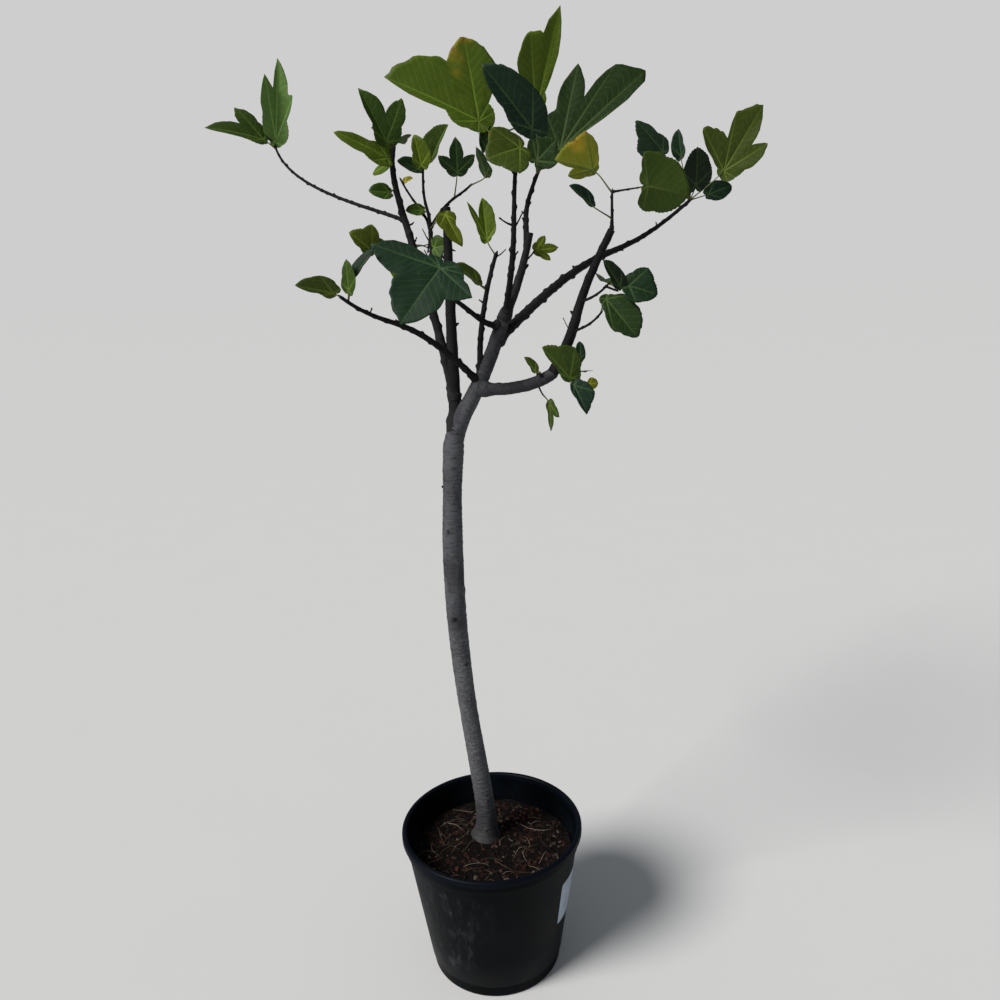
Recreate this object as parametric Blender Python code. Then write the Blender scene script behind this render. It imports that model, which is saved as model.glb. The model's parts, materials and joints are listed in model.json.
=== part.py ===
"""Potted fig tree: a young tree with lobed leaves in a black nursery pot.

Run with blender --background --python part.py, or from Blender's text editor.
Metres, +Z up, the front is -Y, and the origin is the centre of the pot's underside.
"""
import math
import random

import bmesh
import bpy
from mathutils import Vector

cm = 0.01
mm = 0.001
gap = 0.3 * mm              # between pieces that touch

# the pot
potHeight = 33.5 * cm
rimRadius = 20.0 * cm
collarRadius = 19.4 * cm
wallTopRadius = 19.0 * cm
wallFootRadius = 15.0 * cm
baseRadius = 14.5 * cm
footHeight = 3.0 * cm
collarHeight = 30.2 * cm
lipHeight = 32.0 * cm
floorThickness = 4 * mm
innerFootRadius = 14.25 * cm
innerTopRadius = 18.8 * cm
potSides = 48
drainRadius = 9 * mm
drainRing = 10.5 * cm
drainCount = 8

# the soil, level round the foot of the trunk and uneven elsewhere
soilLevel = 27.0 * cm
soilRelief = 4 * mm
levelReach = 9 * cm

# the blank label stuck on the pot's right front
labelHeadings = (-37.5, -15)
labelHeights = (14.0 * cm, 25.0 * cm)
labelThickness = 0.8 * mm

trunkFoot = Vector((-1.4, 4.5, 27.0)) * cm
trunkSides = 12
trunkRings = 17
limbSides = 8
limbRings = 12
twigSides = 5
twigRings = 5
knuckle = 0.05              # how much a limb swells and shrinks along its length

leafThickness = 1.8 * mm
leafSlimness = 75           # a leaf is never thinner than its length over this
stalkRadii = (1.5 * mm, 0.9 * mm)
stalkSink = 0.12            # how far along the blade its stalk runs inside it
stalkHook = 0.25            # how far back from the blade's foot a stalk starts to bend into line with it
stalkRings = 5
stalkSides = 3
shortLeaf = 9 * cm          # a shorter blade has no ring of points between its foot and its edge
tinyLeaf = 4 * cm           # and a tiny one has half the points along its edge

# the leaves behind each mass, which a seeded rule sets
rearTwigRadii = (2.2, 1.6)
rearLengths = (4, 8.5)      # of the blade, in cm
rearStalks = (1, 2.5)
rearForms = ("broad", "full", "three")
rearTries = 150
limbClearance = 5 * mm
rearSpring = 0.9            # share of the stem where the rear twig springs
lastSpring = 0.98           # and the last share of any twig where a stalk springs
lowSpring = 0.3             # what springs below this share of a limb is near the limb under it too
leafClearance = 10 * mm

# Each limb is one curve: where it springs, its reach in cm, the headings and rises it leaves and arrives at,
# how hard these pull, and its radii in mm. Past the share called bare, the curve is the stem of its leaves.
limbs = {
    "trunk": dict(on=None, reach=(-2.7, -4.5, 92.5), leave=(-10, 83), arrive=(-28, 84), pull=(.15, .55),
                  radii=(21, 19.5)),
    "leader": dict(on=("trunk", 1), reach=(10.6, 1, 23.5), leave=(-12, 78), arrive=(5, 70), pull=(.3, .7),
                   radii=(19, 12.5)),
    "left_upright": dict(on=("leader", .12), reach=(.2, 6.1, 42.3), leave=(90, 70), arrive=(80, 84),
                         pull=(.15, .35), radii=(13.5, 7.5)),
    "left_outer_bough": dict(on=("left_upright", .22), reach=(-9.4, 7.6, 47.3), leave=(125, 74),
                             arrive=(5, 74), pull=(.58, .15), radii=(9, 4.5), bare=.63),
    "left_inner_bough": dict(on=("left_outer_bough", .26), reach=(.5, 4.8, 14.5), leave=(70, 66),
                             arrive=(105, 80), pull=(.35, .35), radii=(6, 4), bare=.75),
    "far_left_shoot": dict(on=("left_outer_bough", .57), reach=(-27.6, 20.7, 17.2), leave=(146, 26),
                           arrive=(175, 78), pull=(.15, .25), radii=(4, 2.2), bare=.71),
    "left_long_bough": dict(on=("leader", .68), reach=(-23.2, -14, 17.3), leave=(-146, 44),
                            arrive=(-158, 38), pull=(.7, .35), radii=(6.5, 3), bare=.9),
    "front_shoot": dict(on=("leader", .71), reach=(3.7, .5, 22.9), leave=(150, 84), arrive=(55, 54),
                        pull=(.35, .2), radii=(6, 3.5), bare=.61),
    "centre_stub": dict(on=("leader", 1), reach=(5.7, 0, 15.8), leave=(0, 62), arrive=(0, 76),
                        pull=(.35, .4), radii=(9.5, 6)),
    "front_left_bough": dict(on=("leader", .98), reach=(-20.1, -9.5, 12.4), leave=(-150, 4),
                             arrive=(-170, 26), pull=(.25, .7), radii=(6, 3), bare=.9),
    "left_rod": dict(on=("centre_stub", .06), reach=(2.4, -6, 25.1), leave=(-72, 61), arrive=(-65, 80),
                     pull=(.6, .4), radii=(6, 3.5), bare=.88),
    "right_rod": dict(on=("centre_stub", .83), reach=(3, 6, 14.3), leave=(80, 62), arrive=(20, 64),
                      pull=(.45, .55), radii=(6, 3.5), bare=.83),
    "right_low_bough": dict(on=("leader", .64), reach=(13.9, -8.4, 3.1), leave=(-36, -6), arrive=(-15, 35),
                            pull=(.35, .25), radii=(11.5, 11)),
    "right_upright": dict(on=("right_low_bough", 1), reach=(10.7, -2, 24.8), leave=(-10, 60),
                          arrive=(-5, 62), pull=(.5, .7), radii=(10.5, 6.5)),
    "right_long_bough": dict(on=("leader", .91), reach=(44.6, 29.1, 26.8), leave=(40, 33), arrive=(20, 36),
                             pull=(.7, .45), radii=(9.5, 3.5), bare=.97),
}

# Half outlines of a blade: (angle from the midrib, radius), by turns the tip of a lobe and the notch after it.
halves = {
    "broad": ((0, 1), (27, .78), (52, .86), (82, .5), (112, .34), (180, .1)),
    "full": ((0, 1), (27, .85), (60, .9), (90, .5), (112, .4), (180, .1)),
    "plain": ((0, 1), (30, .8), (52, .66), (95, .34), (135, .26), (180, .08)),
    "slim": ((0, 1), (25, .5), (45, .4), (80, .25), (110, .18), (180, .08)),
    "half": ((0, 1), (15, .4), (30, .3), (95, .15), (135, .12), (180, .08)),
    "three": ((0, 1), (26, .46), (48, .75), (75, .36), (110, .25), (180, .08)),
    "thumb": ((0, 1), (6, .62), (15, .78), (35, .4), (90, .1), (180, .06)),
    "hand": ((0, 1), (15, .6), (22, .6), (30, .3), (110, .1), (180, .06)),
    "maple": ((0, 1), (40, .5), (75, .65), (90, .4), (105, .35), (180, .1)),
    "palm": ((0, 1), (45, .6), (76, 1), (98, .45), (104, .25), (180, .1)),
    "horn": ((0, 1), (16, .55), (26, 1), (35, .45), (60, .2), (180, .06)),
    "flag": ((0, 1), (28, .55), (42, .4), (65, .15), (120, .08), (180, .06)),
    "heel": ((0, 1), (12, .35), (35, .3), (60, .2), (100, .15), (180, .12)),
    "wing": ((0, 1), (38, .62), (58, .78), (88, .55), (100, .2), (180, .15)),
    "sail": ((0, 1), (8, .7), (18, .7), (45, .3), (90, .1), (180, .06)),
    "mast": ((0, 1), (10, .35), (12, .2), (40, .08), (140, .05), (180, .06)),
    "mitten": ((0, 1), (5, .94), (14, .88), (22, .5), (35, .75), (52, .34), (68, .3), (180, .06)),
    "spear": ((0, 1), (4, .92), (7, .7), (10, .12), (60, .06), (180, .06)),
    "spoon": ((0, 1), (40, .85), (62, .95), (90, .45), (115, .2), (180, .1)),
    "torn": ((0, 1), (10, .5), (28, .65), (60, .25), (95, .15), (180, .1)),
    "round": ((0, 1), (58, .6), (85, .55), (112, .4), (130, .2), (180, .12)),
    "cup": ((0, 1), (70, .75), (112, .75), (128, .4), (150, .3), (180, .15)),
    "bird": ((0, 1), (8, .92), (21, .8), (27, .45), (60, .7), (75, .25), (95, .1), (180, .1)),
    "tail": ((0, 1), (18, .5), (30, .7), (60, .3), (90, .2), (180, .1)),
    "spade": ((0, 1), (40, .6), (60, .45), (75, .2), (110, .1), (180, .1)),
    "shield": ((0, 1), (18, .75), (28, .7), (45, .3), (75, .15), (180, .1)),
}
notchRound = 0.55           # below 1, a lobe is blunt and its notch is sharp
lobePoint = 0.2             # share of a lobe that rises to a point
widthFade = 35              # degrees from the midrib over which one side is made wider

# Each mass of foliage: its stem, its further twigs, and its leaves. A leaf has the twig and the share of it
# where its stalk springs, the left and the right half of its outline, the stalk and the blade as steps in cm,
# the heading and rise that its upper side faces, its fold and droop in degrees, and its width.
masses = {
    "far_left_leaves": dict(
        stem=dict(past="far_left_shoot"),
        leaves=(
            ("stem", 1, "thumb", "hand", (.2, 0, 1), (2, 0, 16), (-70, 5), 25, 10, .9),
            ("stem", .92, "half", "three", (-2.5, -.5, 2), (-10.5, -4, 2), (-80, 35), 10, 15, .9),
            ("stem", .98, "plain", "plain", (-.5, -.5, 1.5), (-1.5, -1, 1.5), (-90, 45), 15, 10, 1),
        )),
    "left_outer_leaves": dict(
        stem=dict(past="left_outer_bough"),
        leaves=(
            ("stem", 1, "half", "three", (-1.2, -.5, 1.6), (-4.3, -2, 9), (-75, 25), 20, 15, 1.1),
            ("stem", .93, "slim", "half", (-1, -1, -1), (-9.5, -3, 4.5), (-80, 35), 15, 15, 1.1),
            ("stem", .9, "plain", "slim", (-.8, 1, -1.5), (-3.5, 2, -1.5), (-90, 35), 10, 10, .8),
            ("stem", .3, "plain", "plain", (-1.2, -1.3, -1), (-3.6, -2, .3), (-90, 25), 10, 10, .8),
        ),
        rear=dict(reach=(-2, 6, 4), size=(6, 9, 7), count=2)),
    "left_inner_leaves": dict(
        stem=dict(past="left_inner_bough"),
        twigs={
            "middle": dict(on=("stem", .97), reach=(-.7, 1, 11.7), leave=(-80, 84), arrive=(-25, 84),
                           pull=(.4, .7), radii=(3.5, 2.2)),
            "left": dict(on=("stem", .96), reach=(-5.4, 4, 9.6), leave=(130, 70), arrive=(140, 58),
                         pull=(.3, .5), radii=(3, 1.8)),
            "right": dict(on=("stem", .96), reach=(8.3, 5.5, 8.2), leave=(36, 52), arrive=(30, 38),
                          pull=(.6, .35), radii=(3.2, 2.2)),
        },
        leaves=(
            ("middle", 1, "slim", "plain", (-.3, -1, .5), (-1, -1, 5.3), (-100, 20), 20, 10, .9),
            ("middle", .97, "plain", "half", (1.6, 1.5, 2), (3.6, 2.5, 6.6), (-110, 15), 25, 15, .7),
            ("middle", .95, "plain", "plain", (-.8, 0, .5), (-4, -1, 1.5), (-90, 45), 10, 10, .9),
            ("left", 1, "plain", "half", (.5, 0, -.3), (1.8, 0, .8), (-90, 40), 15, 0, .9),
            ("middle", .42, "plain", "plain", (-.8, -.5, -.5), (-3.2, -1, 0), (-90, 30), 10, 0, .8),
            ("right", .58, "three", "three", (.8, -3, 4.5), (0, -2, 6), (-90, 15), 5, 10, 1),
            ("right", 1, "slim", "slim", (3.5, 0, 2), (-1.8, -2, 5), (45, 15), 10, 0, 1),
            ("stem", .95, "half", "slim", (3.2, -8, 2), (3, -2, -6), (-65, 15), 10, 5, 1.3),
            ("stem", .6, "plain", "broad", (.6, -2, -2.3), (2.6, -1, .4), (-90, 15), 10, 5, 1.5),
        ),
        rear=dict(reach=(-1, 7, -4), size=(6, 9, 7), count=2)),
    "front_leaves": dict(
        stem=dict(past="front_shoot"),
        leaves=(
            ("stem", .12, "maple", "palm", (-8.4, -12, 4), (-7, -5, -9), (-95, 20), 5, 10, 1),
            ("stem", .08, "half", "plain", (-1.8, -1, 1.5), (-4, -1.5, 3.6), (-70, 30), 15, 10, .6),
            ("stem", 1, "horn", "flag", (-1.6, 0, 2.9), (-.5, 1, 7.5), (-80, 10), 20, 5, 1),
        )),
    "left_tip_leaves": dict(
        stem=dict(past="left_long_bough"),
        leaves=(
            ("stem", .95, "half", "plain", (-1.5, -.5, 1), (-6, -1.5, 1.5), (-90, -20), 5, 5, .8),
            ("stem", .6, "slim", "plain", (.3, -.5, 2), (0, 0, 5.2), (-120, 10), 15, 5, .8),
            ("stem", .6, "plain", "half", (1.3, 0, 4.3), (4, 0, 4.5), (-120, 25), 10, 5, .5),
        )),
    "front_left_leaves": dict(
        stem=dict(past="front_left_bough"),
        leaves=(
            ("stem", 1, "slim", "broad", (-2.5, -.5, 2), (-3.5, -2, 3.2), (-90, 25), 10, 10, 1),
            ("stem", 1, "plain", "plain", (-.4, 1, 2.4), (-1.3, -.5, 1.8), (-90, 25), 10, 10, .7),
            ("stem", .9, "half", "plain", (.8, 1.5, .3), (2.1, -1, -4.8), (-80, 25), 10, 5, .6),
        )),
    "top_left_leaves": dict(
        stem=dict(past="left_rod"),
        leaves=(
            ("stem", 1, "heel", "wing", (-6, 5, 9.4), (-16.2, -2, 7.2), (-85, 25), 15, 10, 1),
            ("stem", .95, "plain", "plain", (-4.9, 7, 5.2), (.5, .5, 5), (-80, 10), 10, 10, .5),
            ("stem", 1, "full", "full", (.9, 0, 4), (-6, -2.5, -2), (-90, 25), 5, 15, .95),
        ),
        rear=dict(reach=(-6, 12, 10), size=(9, 12, 8), count=3)),
    "top_right_leaves": dict(
        stem=dict(past="right_rod"),
        leaves=(
            ("stem", .97, "slim", "plain", (-2, -15, 5.6), (-8.2, -2.5, 9.7), (-105, 15), 15, 15, .65),
            ("stem", 1, "sail", "mast", (0, 1, 11), (5.2, 2, 18.2), (-75, 5), 15, 0, 1.2),
            ("stem", 1, "mitten", "spear", (4.2, -1, 4), (17, 4, 13.8), (-95, 20), 5, 5, 1),
            ("stem", .9, "full", "broad", (-.2, -3, 2.2), (3.5, -2, 3.3), (-85, 15), 5, 10, .9),
        ),
        rear=dict(reach=(5, 10, 10), size=(9, 12, 9), count=3)),
    "right_upper_leaves": dict(
        stem=dict(on=("right_upright", 1), reach=(-.1, -1.5, 6.2), leave=(-70, 78), arrive=(-60, 84),
                  pull=(.35, .35), radii=(3, 2)),
        twigs={
            "side": dict(on=("stem", 1), reach=(3.6, -3.5, .2), leave=(-45, 2), arrive=(-45, 2),
                         pull=(.35, .35), radii=(2, 1.3)),
        },
        leaves=(
            ("stem", .3, "half", "plain", (-4, -2, 2.3), (-3.8, -2, 3), (-75, 25), 15, 5, .6),
            ("stem", 1, "spoon", "torn", (-3.2, .5, 3.8), (-6.5, 0, 1.8), (75, 20), 5, 5, 1),
            ("side", 1, "round", "cup", (2, 0, .2), (7.3, 1.5, -1.6), (90, 10), 5, 5, .95),
        )),
    "right_tip_leaves": dict(
        stem=dict(past="right_long_bough"),
        leaves=(
            ("stem", .9, "broad", "slim", (-6.4, -2, 10), (-6.2, -2, 6), (-100, 15), 20, 15, .8),
            ("stem", .95, "plain", "slim", (-2.3, -1, 9), (-.4, 1, 5.6), (-110, 10), 15, 5, .65),
            ("stem", 1, "bird", "tail", (7.3, 0, 5.8), (7.4, -2, 12.5), (-90, 15), 10, 5, 1),
            ("stem", 1, "plain", "plain", (.5, -3, 2.8), (-.5, -2.5, 7.3), (-90, 25), 10, 10, .8),
            ("stem", 1, "plain", "plain", (4.4, 1, 1.2), (5.6, 2, 1.8), (-85, 20), 10, 5, .7),
        ),
        rear=dict(reach=(3, 7, 5), size=(8, 9, 7), count=3)),
    "right_middle_leaves": dict(
        stem=dict(on=("right_upright", .63), reach=(4.2, -5.7, 3.1), leave=(-58, 10), arrive=(-50, 40),
                  pull=(.35, .35), radii=(2.6, 1.8)),
        leaves=(
            ("stem", 1, "slim", "plain", (1.8, -1, -.5), (-3, -1, 4.5), (-100, 25), 15, 10, .6),
            ("stem", 1, "full", "plain", (3.3, -1, -.4), (4.8, -1, -1.6), (-90, 25), 5, 5, 1),
        ),
        rear=dict(reach=(3, 6, -1), size=(6, 8, 6), count=2)),
    "right_lower_leaves": dict(
        stem=dict(on=("right_upright", .31), reach=(4.4, -6.2, 3.5), leave=(-58, 12), arrive=(-50, 45),
                  pull=(.35, .35), radii=(2.6, 1.8)),
        leaves=(
            ("stem", 1, "spade", "shield", (.8, -.5, 2.4), (5.1, -2.5, -6.7), (-85, 20), 10, 10, 1),
        )),
    "elbow_leaves": dict(
        stem=dict(on=("right_upright", .02), reach=(2.4, -3.5, -1), leave=(-50, -10), arrive=(-50, 5),
                  pull=(.35, .35), radii=(3, 2)),
        leaves=(
            ("stem", .95, "half", "full", (-.1, -1.5, 0), (-5, -1.5, 5.8), (-85, 15), 10, 15, .7),
            ("stem", 1, "full", "slim", (.6, -1.5, -1.3), (2, -2, -5), (-75, 20), 15, 10, .65),
            ("stem", 1, "plain", "plain", (3.5, -.5, -1.3), (1.8, 1, 0), (-80, 10), 0, 0, 1),
            ("stem", 1, "plain", "plain", (1.9, -.5, 3.2), (.2, 1.5, 3), (-70, 15), 10, 5, .6),
        ),
        rear=dict(reach=(2, 6, 0), size=(6, 8, 6), count=1)),
    "low_left_leaf": dict(
        stem=dict(on=("right_low_bough", .86), reach=(-.8, -1.6, 1.3), leave=(-110, 20), arrive=(-120, 60),
                  pull=(.35, .35), radii=(1.8, 1.4)),
        leaves=(
            ("stem", 1, "half", "plain", (-1, 0, .3), (-1.9, 0, 2.7), (-80, 15), 10, 5, .7),
        )),
    "hanging_leaf": dict(
        stem=dict(on=("right_low_bough", .75), reach=(1, -1, -2.2), leave=(-60, -50), arrive=(-30, -60),
                  pull=(.35, .35), radii=(1.8, 1.4)),
        leaves=(
            ("stem", 1, "three", "half", (1.2, -.4, -1.6), (.2, 0, -5.4), (-100, 10), 15, 5, .6),
        )),
    "stub_leaf": dict(
        stem=dict(on=("centre_stub", .72), reach=(2, .6, 1.7), leave=(15, 20), arrive=(30, 50),
                  pull=(.35, .35), radii=(1.8, 1.4)),
        leaves=(
            ("stem", 1, "three", "three", (.5, 1.4, .3), (4.4, 1.2, .3), (-90, 20), 10, 5, 1),
        )),
}

finishes = {                # colour, roughness
    "pot": ((.012, .014, .018), .45),
    "soil": ((.035, .022, .015), .95),
    "label": ((.55, .6, .66), .5),
    "wood": ((.2, .18, .17), .85),
    "leaf": ((.08, .15, .05), .6),
}


def clearScene():
    for old in list(bpy.data.objects):
        bpy.data.objects.remove(old, do_unlink=True)


def finish(owner, kind):
    """The material of one node, which all the pieces that are joined into it share."""
    found = bpy.data.materials.get(owner)
    if found:
        return found
    colour, roughness = finishes[kind]
    made = bpy.data.materials.new(owner)
    made.use_nodes = True
    surface = made.node_tree.nodes["Principled BSDF"]
    surface.inputs["Base Color"].default_value = (*colour, 1)
    surface.inputs["Roughness"].default_value = roughness
    surface.inputs["Metallic"].default_value = 0
    return made


def meshObject(name, points, faces, kind, owner=None):
    mesh = bpy.data.meshes.new(name)
    mesh.from_pydata([tuple(point) for point in points], [], faces)
    mesh.validate()
    mesh.materials.append(finish(owner or name, kind))
    made = bpy.data.objects.new(name, mesh)
    bpy.context.scene.collection.objects.link(made)
    return made


def direction(heading, rise):
    turn = math.radians(heading)
    climb = math.radians(rise)
    return Vector((math.cos(climb) * math.cos(turn), math.cos(climb) * math.sin(turn), math.sin(climb)))


def curvePoint(curve, share):
    """The point at a share, 0 to 1, of a cubic curve through its four control points."""
    a, b, c, d = curve
    rest = 1 - share
    return a * rest**3 + b * (3 * share * rest**2) + c * (3 * share**2 * rest) + d * share**3


def makeCurve(start, reach, leave, arrive, pull):
    step = Vector(reach) * cm
    end = start + step
    return (start, start + direction(*leave) * (step.length * pull[0]),
            end - direction(*arrive) * (step.length * pull[1]), end)


def tube(points, radii, sides):
    """Points and faces of a closed tube with flat ends, its rings square to the way it runs."""
    rings = []
    faces = []
    side = None
    for number, point in enumerate(points):
        ahead = points[min(number + 1, len(points) - 1)]
        behind = points[max(number - 1, 0)]
        along = (ahead - behind).normalized()
        if side is None:
            side = along.cross(Vector((0, 1, 0))).normalized()
        side = (side - along * side.dot(along)).normalized()
        other = along.cross(side)
        for step in range(sides):
            angle = 2 * math.pi * step / sides
            rings.append(point + (side * math.cos(angle) + other * math.sin(angle)) * radii[number])
    for ring in range(len(points) - 1):
        for step in range(sides):
            after = (step + 1) % sides
            low = ring * sides
            high = low + sides
            faces.append((low + step, low + after, high + after, high + step))
    faces.append(tuple(reversed(range(sides))))
    last = (len(points) - 1) * sides
    faces.append(tuple(range(last, last + sides)))
    return rings, faces


def trunkRadius(height):
    """Flared at the soil, slimmest at about two fifths of the way up, and full again under the fork."""
    flare = 14 * mm * math.exp(-height / (4.5 * cm))
    waist = 1.5 * mm * math.exp(-((height - 46 * cm) / (16 * cm)) ** 2)
    neck = 2 * mm * math.exp(-((height - 86 * cm) / (4 * cm)) ** 2)
    return 21 * mm + flare - waist - neck


def limbRadii(name, shares):
    low, high = (value * mm for value in limbs[name]["radii"])
    if name == "trunk":
        return [trunkRadius(share * limbs[name]["reach"][2] * cm) for share in shares]
    rng = random.Random(name)
    radii = []
    for share in shares:
        radii.append((low + (high - low) * share) * (1 + rng.uniform(-knuckle, knuckle)))
    return radii


def limbCurve(name):
    limb = limbs[name]
    if limb["on"] is None:
        start = trunkFoot + Vector((0, 0, gap))
    else:
        start = curvePoint(limbCurve(limb["on"][0]), limb["on"][1])
    return makeCurve(start, limb["reach"], limb["leave"], limb["arrive"], limb["pull"])


def limbTube(name, grow=0.0):
    """The bare length of a limb, or the same grown all round as a cutter for what springs from it."""
    curve = limbCurve(name)
    bare = limbs[name].get("bare", 1)
    rings = trunkRings if name == "trunk" else limbRings
    sides = trunkSides if name == "trunk" else limbSides
    shares = [bare * number / (rings - 1) for number in range(rings)]
    points = [curvePoint(curve, share) for share in shares]
    radii = [radius + grow for radius in limbRadii(name, shares)]
    if grow:
        points[-1] = points[-1] + (points[-1] - points[-2]).normalized() * grow
    corners, faces = tube(points, radii, sides)
    if limbs[name]["on"] is None:
        for corner in corners[:sides]:
            corner.z = points[0].z
    return corners, faces


def cutter(name):
    made = meshObject("cutter_" + name, *limbTube(name, gap), "wood")
    made.hide_render = True
    made.display_type = "WIRE"
    return made


def cut(made, tool):
    modifier = made.modifiers.new("clear of " + tool.name, "BOOLEAN")
    modifier.operation = "DIFFERENCE"
    modifier.object = tool


def applyModifiers(made):
    graph = bpy.context.evaluated_depsgraph_get()
    mesh = bpy.data.meshes.new_from_object(made.evaluated_get(graph))
    made.modifiers.clear()
    made.data = mesh


def shadeRound(made):
    made.data.shade_smooth()
    made.data.set_sharp_from_angle(angle=math.radians(35))


def carriers(on):
    """The limb that something springs from, and the one below it where it springs from the foot of that limb."""
    name, share = on
    found = [name]
    below = limbs[name]["on"]
    if below and share < lowSpring:
        found.append(below[0])
    return found


def buildLimbs():
    tools = {}
    for name, limb in limbs.items():
        made = meshObject(name, *limbTube(name), "wood")
        if limb["on"]:
            for carrier in carriers(limb["on"]):
                if carrier not in tools:
                    tools[carrier] = cutter(carrier)
                cut(made, tools[carrier])
            applyModifiers(made)
        shadeRound(made)
    return tools


def halfRadius(knots, angle):
    """Radius of a half outline at an angle: blunt round each lobe's tip, sharp in each notch."""
    for number in range(len(knots) - 1):
        angle0, radius0 = knots[number]
        angle1, radius1 = knots[number + 1]
        if angle <= angle1:
            break
    if number % 2 == 0:
        share = (angle1 - angle) / (angle1 - angle0)
        low, high = radius1, radius0
    else:
        share = (angle - angle0) / (angle1 - angle0)
        low, high = radius0, radius1
    swell = math.sin(math.pi / 2 * share) ** notchRound
    return low + (high - low) * ((1 - lobePoint) * swell + lobePoint * share**3)


def outlineAngles(left, right, steps):
    """Angles of the rays from the midrib's tip round to its foot and back, with steps rays from knot to knot."""
    angles = []
    for knots, sign in ((left, 1), (right, -1)):
        side = []
        for number in range(len(knots) - 1):
            angle0 = knots[number][0]
            angle1 = knots[number + 1][0]
            side += [sign * (angle0 + (angle1 - angle0) * step / steps) for step in range(steps)]
        if sign == 1:
            angles += side + [180]
        else:
            angles += reversed(side[1:])
    return angles


def bladePoint(x, y, fold, droop):
    """A point of the flat blade carried onto one folded along its midrib and drooping along its length."""
    up = abs(y) * math.sin(fold)
    y *= math.cos(fold)
    if droop < .01:
        return x, y, up
    bend = 1 / droop
    return (bend + up) * math.sin(x * droop), y, (bend + up) * math.cos(x * droop) - bend


def bladeFrame(blade, faces, droop):
    """Length of the midrib, and the axes along it at its foot, to its left, and out of its upper side."""
    chord = Vector(blade) * cm
    length = chord.length
    along = chord.normalized()
    out = direction(*faces)
    out = (out - along * out.dot(along)).normalized()
    if droop >= .01:
        length *= (droop / 2) / math.sin(droop / 2)
        along, out = (along * math.cos(droop / 2) + out * math.sin(droop / 2),
                      out * math.cos(droop / 2) - along * math.sin(droop / 2))
    return length, along, out.cross(along), out


def bladeSheet(foot, leaf, steps, shares):
    """Points and faces of the blade's upper side, as rays from its foot cut at the given shares."""
    twig, share, leftName, rightName, stalk, blade, faces, fold, droop, width = leaf
    left, right = halves[leftName], halves[rightName]
    fold, droop = math.radians(fold), math.radians(droop)
    length, along, side, out = bladeFrame(blade, faces, droop)
    angles = outlineAngles(left, right, steps)
    points = [foot]
    for angle in angles:
        radius = halfRadius(left if angle >= 0 else right, abs(angle))
        turn = math.radians(angle)
        for part in shares:
            x, y, z = bladePoint(part * radius * math.cos(turn), part * radius * math.sin(turn) * width,
                                 fold, droop)
            points.append(foot + (along * x + side * y + out * z) * length)
    count = len(angles)
    depth = len(shares)
    sheet = []
    for ray in range(count):
        this = 1 + ray * depth
        after = 1 + (ray + 1) % count * depth
        sheet.append((0, this, after))
        for ring in range(depth - 1):
            sheet.append((this + ring, this + ring + 1, after + ring + 1, after + ring))
    return points, sheet, length


def moveTo(collection, made):
    for old in made.users_collection:
        old.objects.unlink(made)
    collection.objects.link(made)


def stemCurve(stem):
    """The curve of a mass's stem, and the share of it from which the mass has it."""
    if "past" in stem:
        limb = limbs[stem["past"]]
        curve = limbCurve(stem["past"])
        length = (curvePoint(curve, limb["bare"] + .02) - curvePoint(curve, limb["bare"])).length
        return curve, limb["bare"] + .02 * gap / length
    start = curvePoint(limbCurve(stem["on"][0]), stem["on"][1])
    return makeCurve(start, stem["reach"], stem["leave"], stem["arrive"], stem["pull"]), 0.0


def stalkCurve(spring, foot, leaf, length):
    """From its spring on the twig, bending into line with the midrib, and on a little way inside the blade."""
    along, out = bladeFrame(leaf[5], leaf[6], math.radians(leaf[8]))[1::2]
    run = (foot - spring).length
    inside = foot + along * (length * stalkSink) - out * (bladeThickness(length) / 2)
    return spring, spring.lerp(foot, .5), foot - along * (run * stalkHook), inside


def bladeThickness(length):
    return max(leafThickness, length / leafSlimness)


def addLeaf(collection, owner, number, spring, leaf):
    """A blade of even thickness and the stalk that carries it, which runs on inside it."""
    foot = spring + Vector(leaf[4]) * cm
    size = (Vector(leaf[5]) * cm).length
    steps = 1 if size < tinyLeaf else 2
    shares = (1,) if size < shortLeaf else (.5, 1)
    points, sheet, length = bladeSheet(foot, leaf, steps, shares)
    blade = meshObject(f"{owner}_{number}", points, sheet, "leaf", owner)
    thick = blade.modifiers.new("thickness", "SOLIDIFY")
    thick.thickness = bladeThickness(length)
    thick.offset = -1
    moveTo(collection, blade)
    curve = stalkCurve(spring, foot, leaf, length)
    route = [curvePoint(curve, number / (stalkRings - 1)) for number in range(stalkRings)]
    low, high = stalkRadii
    radii = [low + (high - low) * number / (stalkRings - 1) for number in range(stalkRings)]
    moveTo(collection, meshObject(f"{owner}_{number}_stalk", *tube(route, radii, stalkSides), "leaf", owner))


def samples(spring, leaf):
    """Points spread over a blade and along its stalk, for telling what it would touch."""
    foot = spring + Vector(leaf[4]) * cm
    points, sheet, length = bladeSheet(foot, leaf, 2, (.3, .5, .75, 1))
    curve = stalkCurve(spring, foot, leaf, length)
    return points, [curvePoint(curve, share) for share in (.4, .6, .8)]


def limbLines():
    """Points along each bare limb with their radii."""
    lines = []
    for name, limb in limbs.items():
        curve = limbCurve(name)
        bare = limb.get("bare", 1)
        shares = [bare * number / 40 for number in range(41)]
        lines += [(curvePoint(curve, share), radius) for share, radius in zip(shares, limbRadii(name, shares))]
    return lines


def clear(points, lines, others):
    for point in points:
        if any((point - line).length < radius + limbClearance for line, radius in lines):
            return False
        if any((point - other).length < leafClearance for other in others):
            return False
    return True


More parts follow.
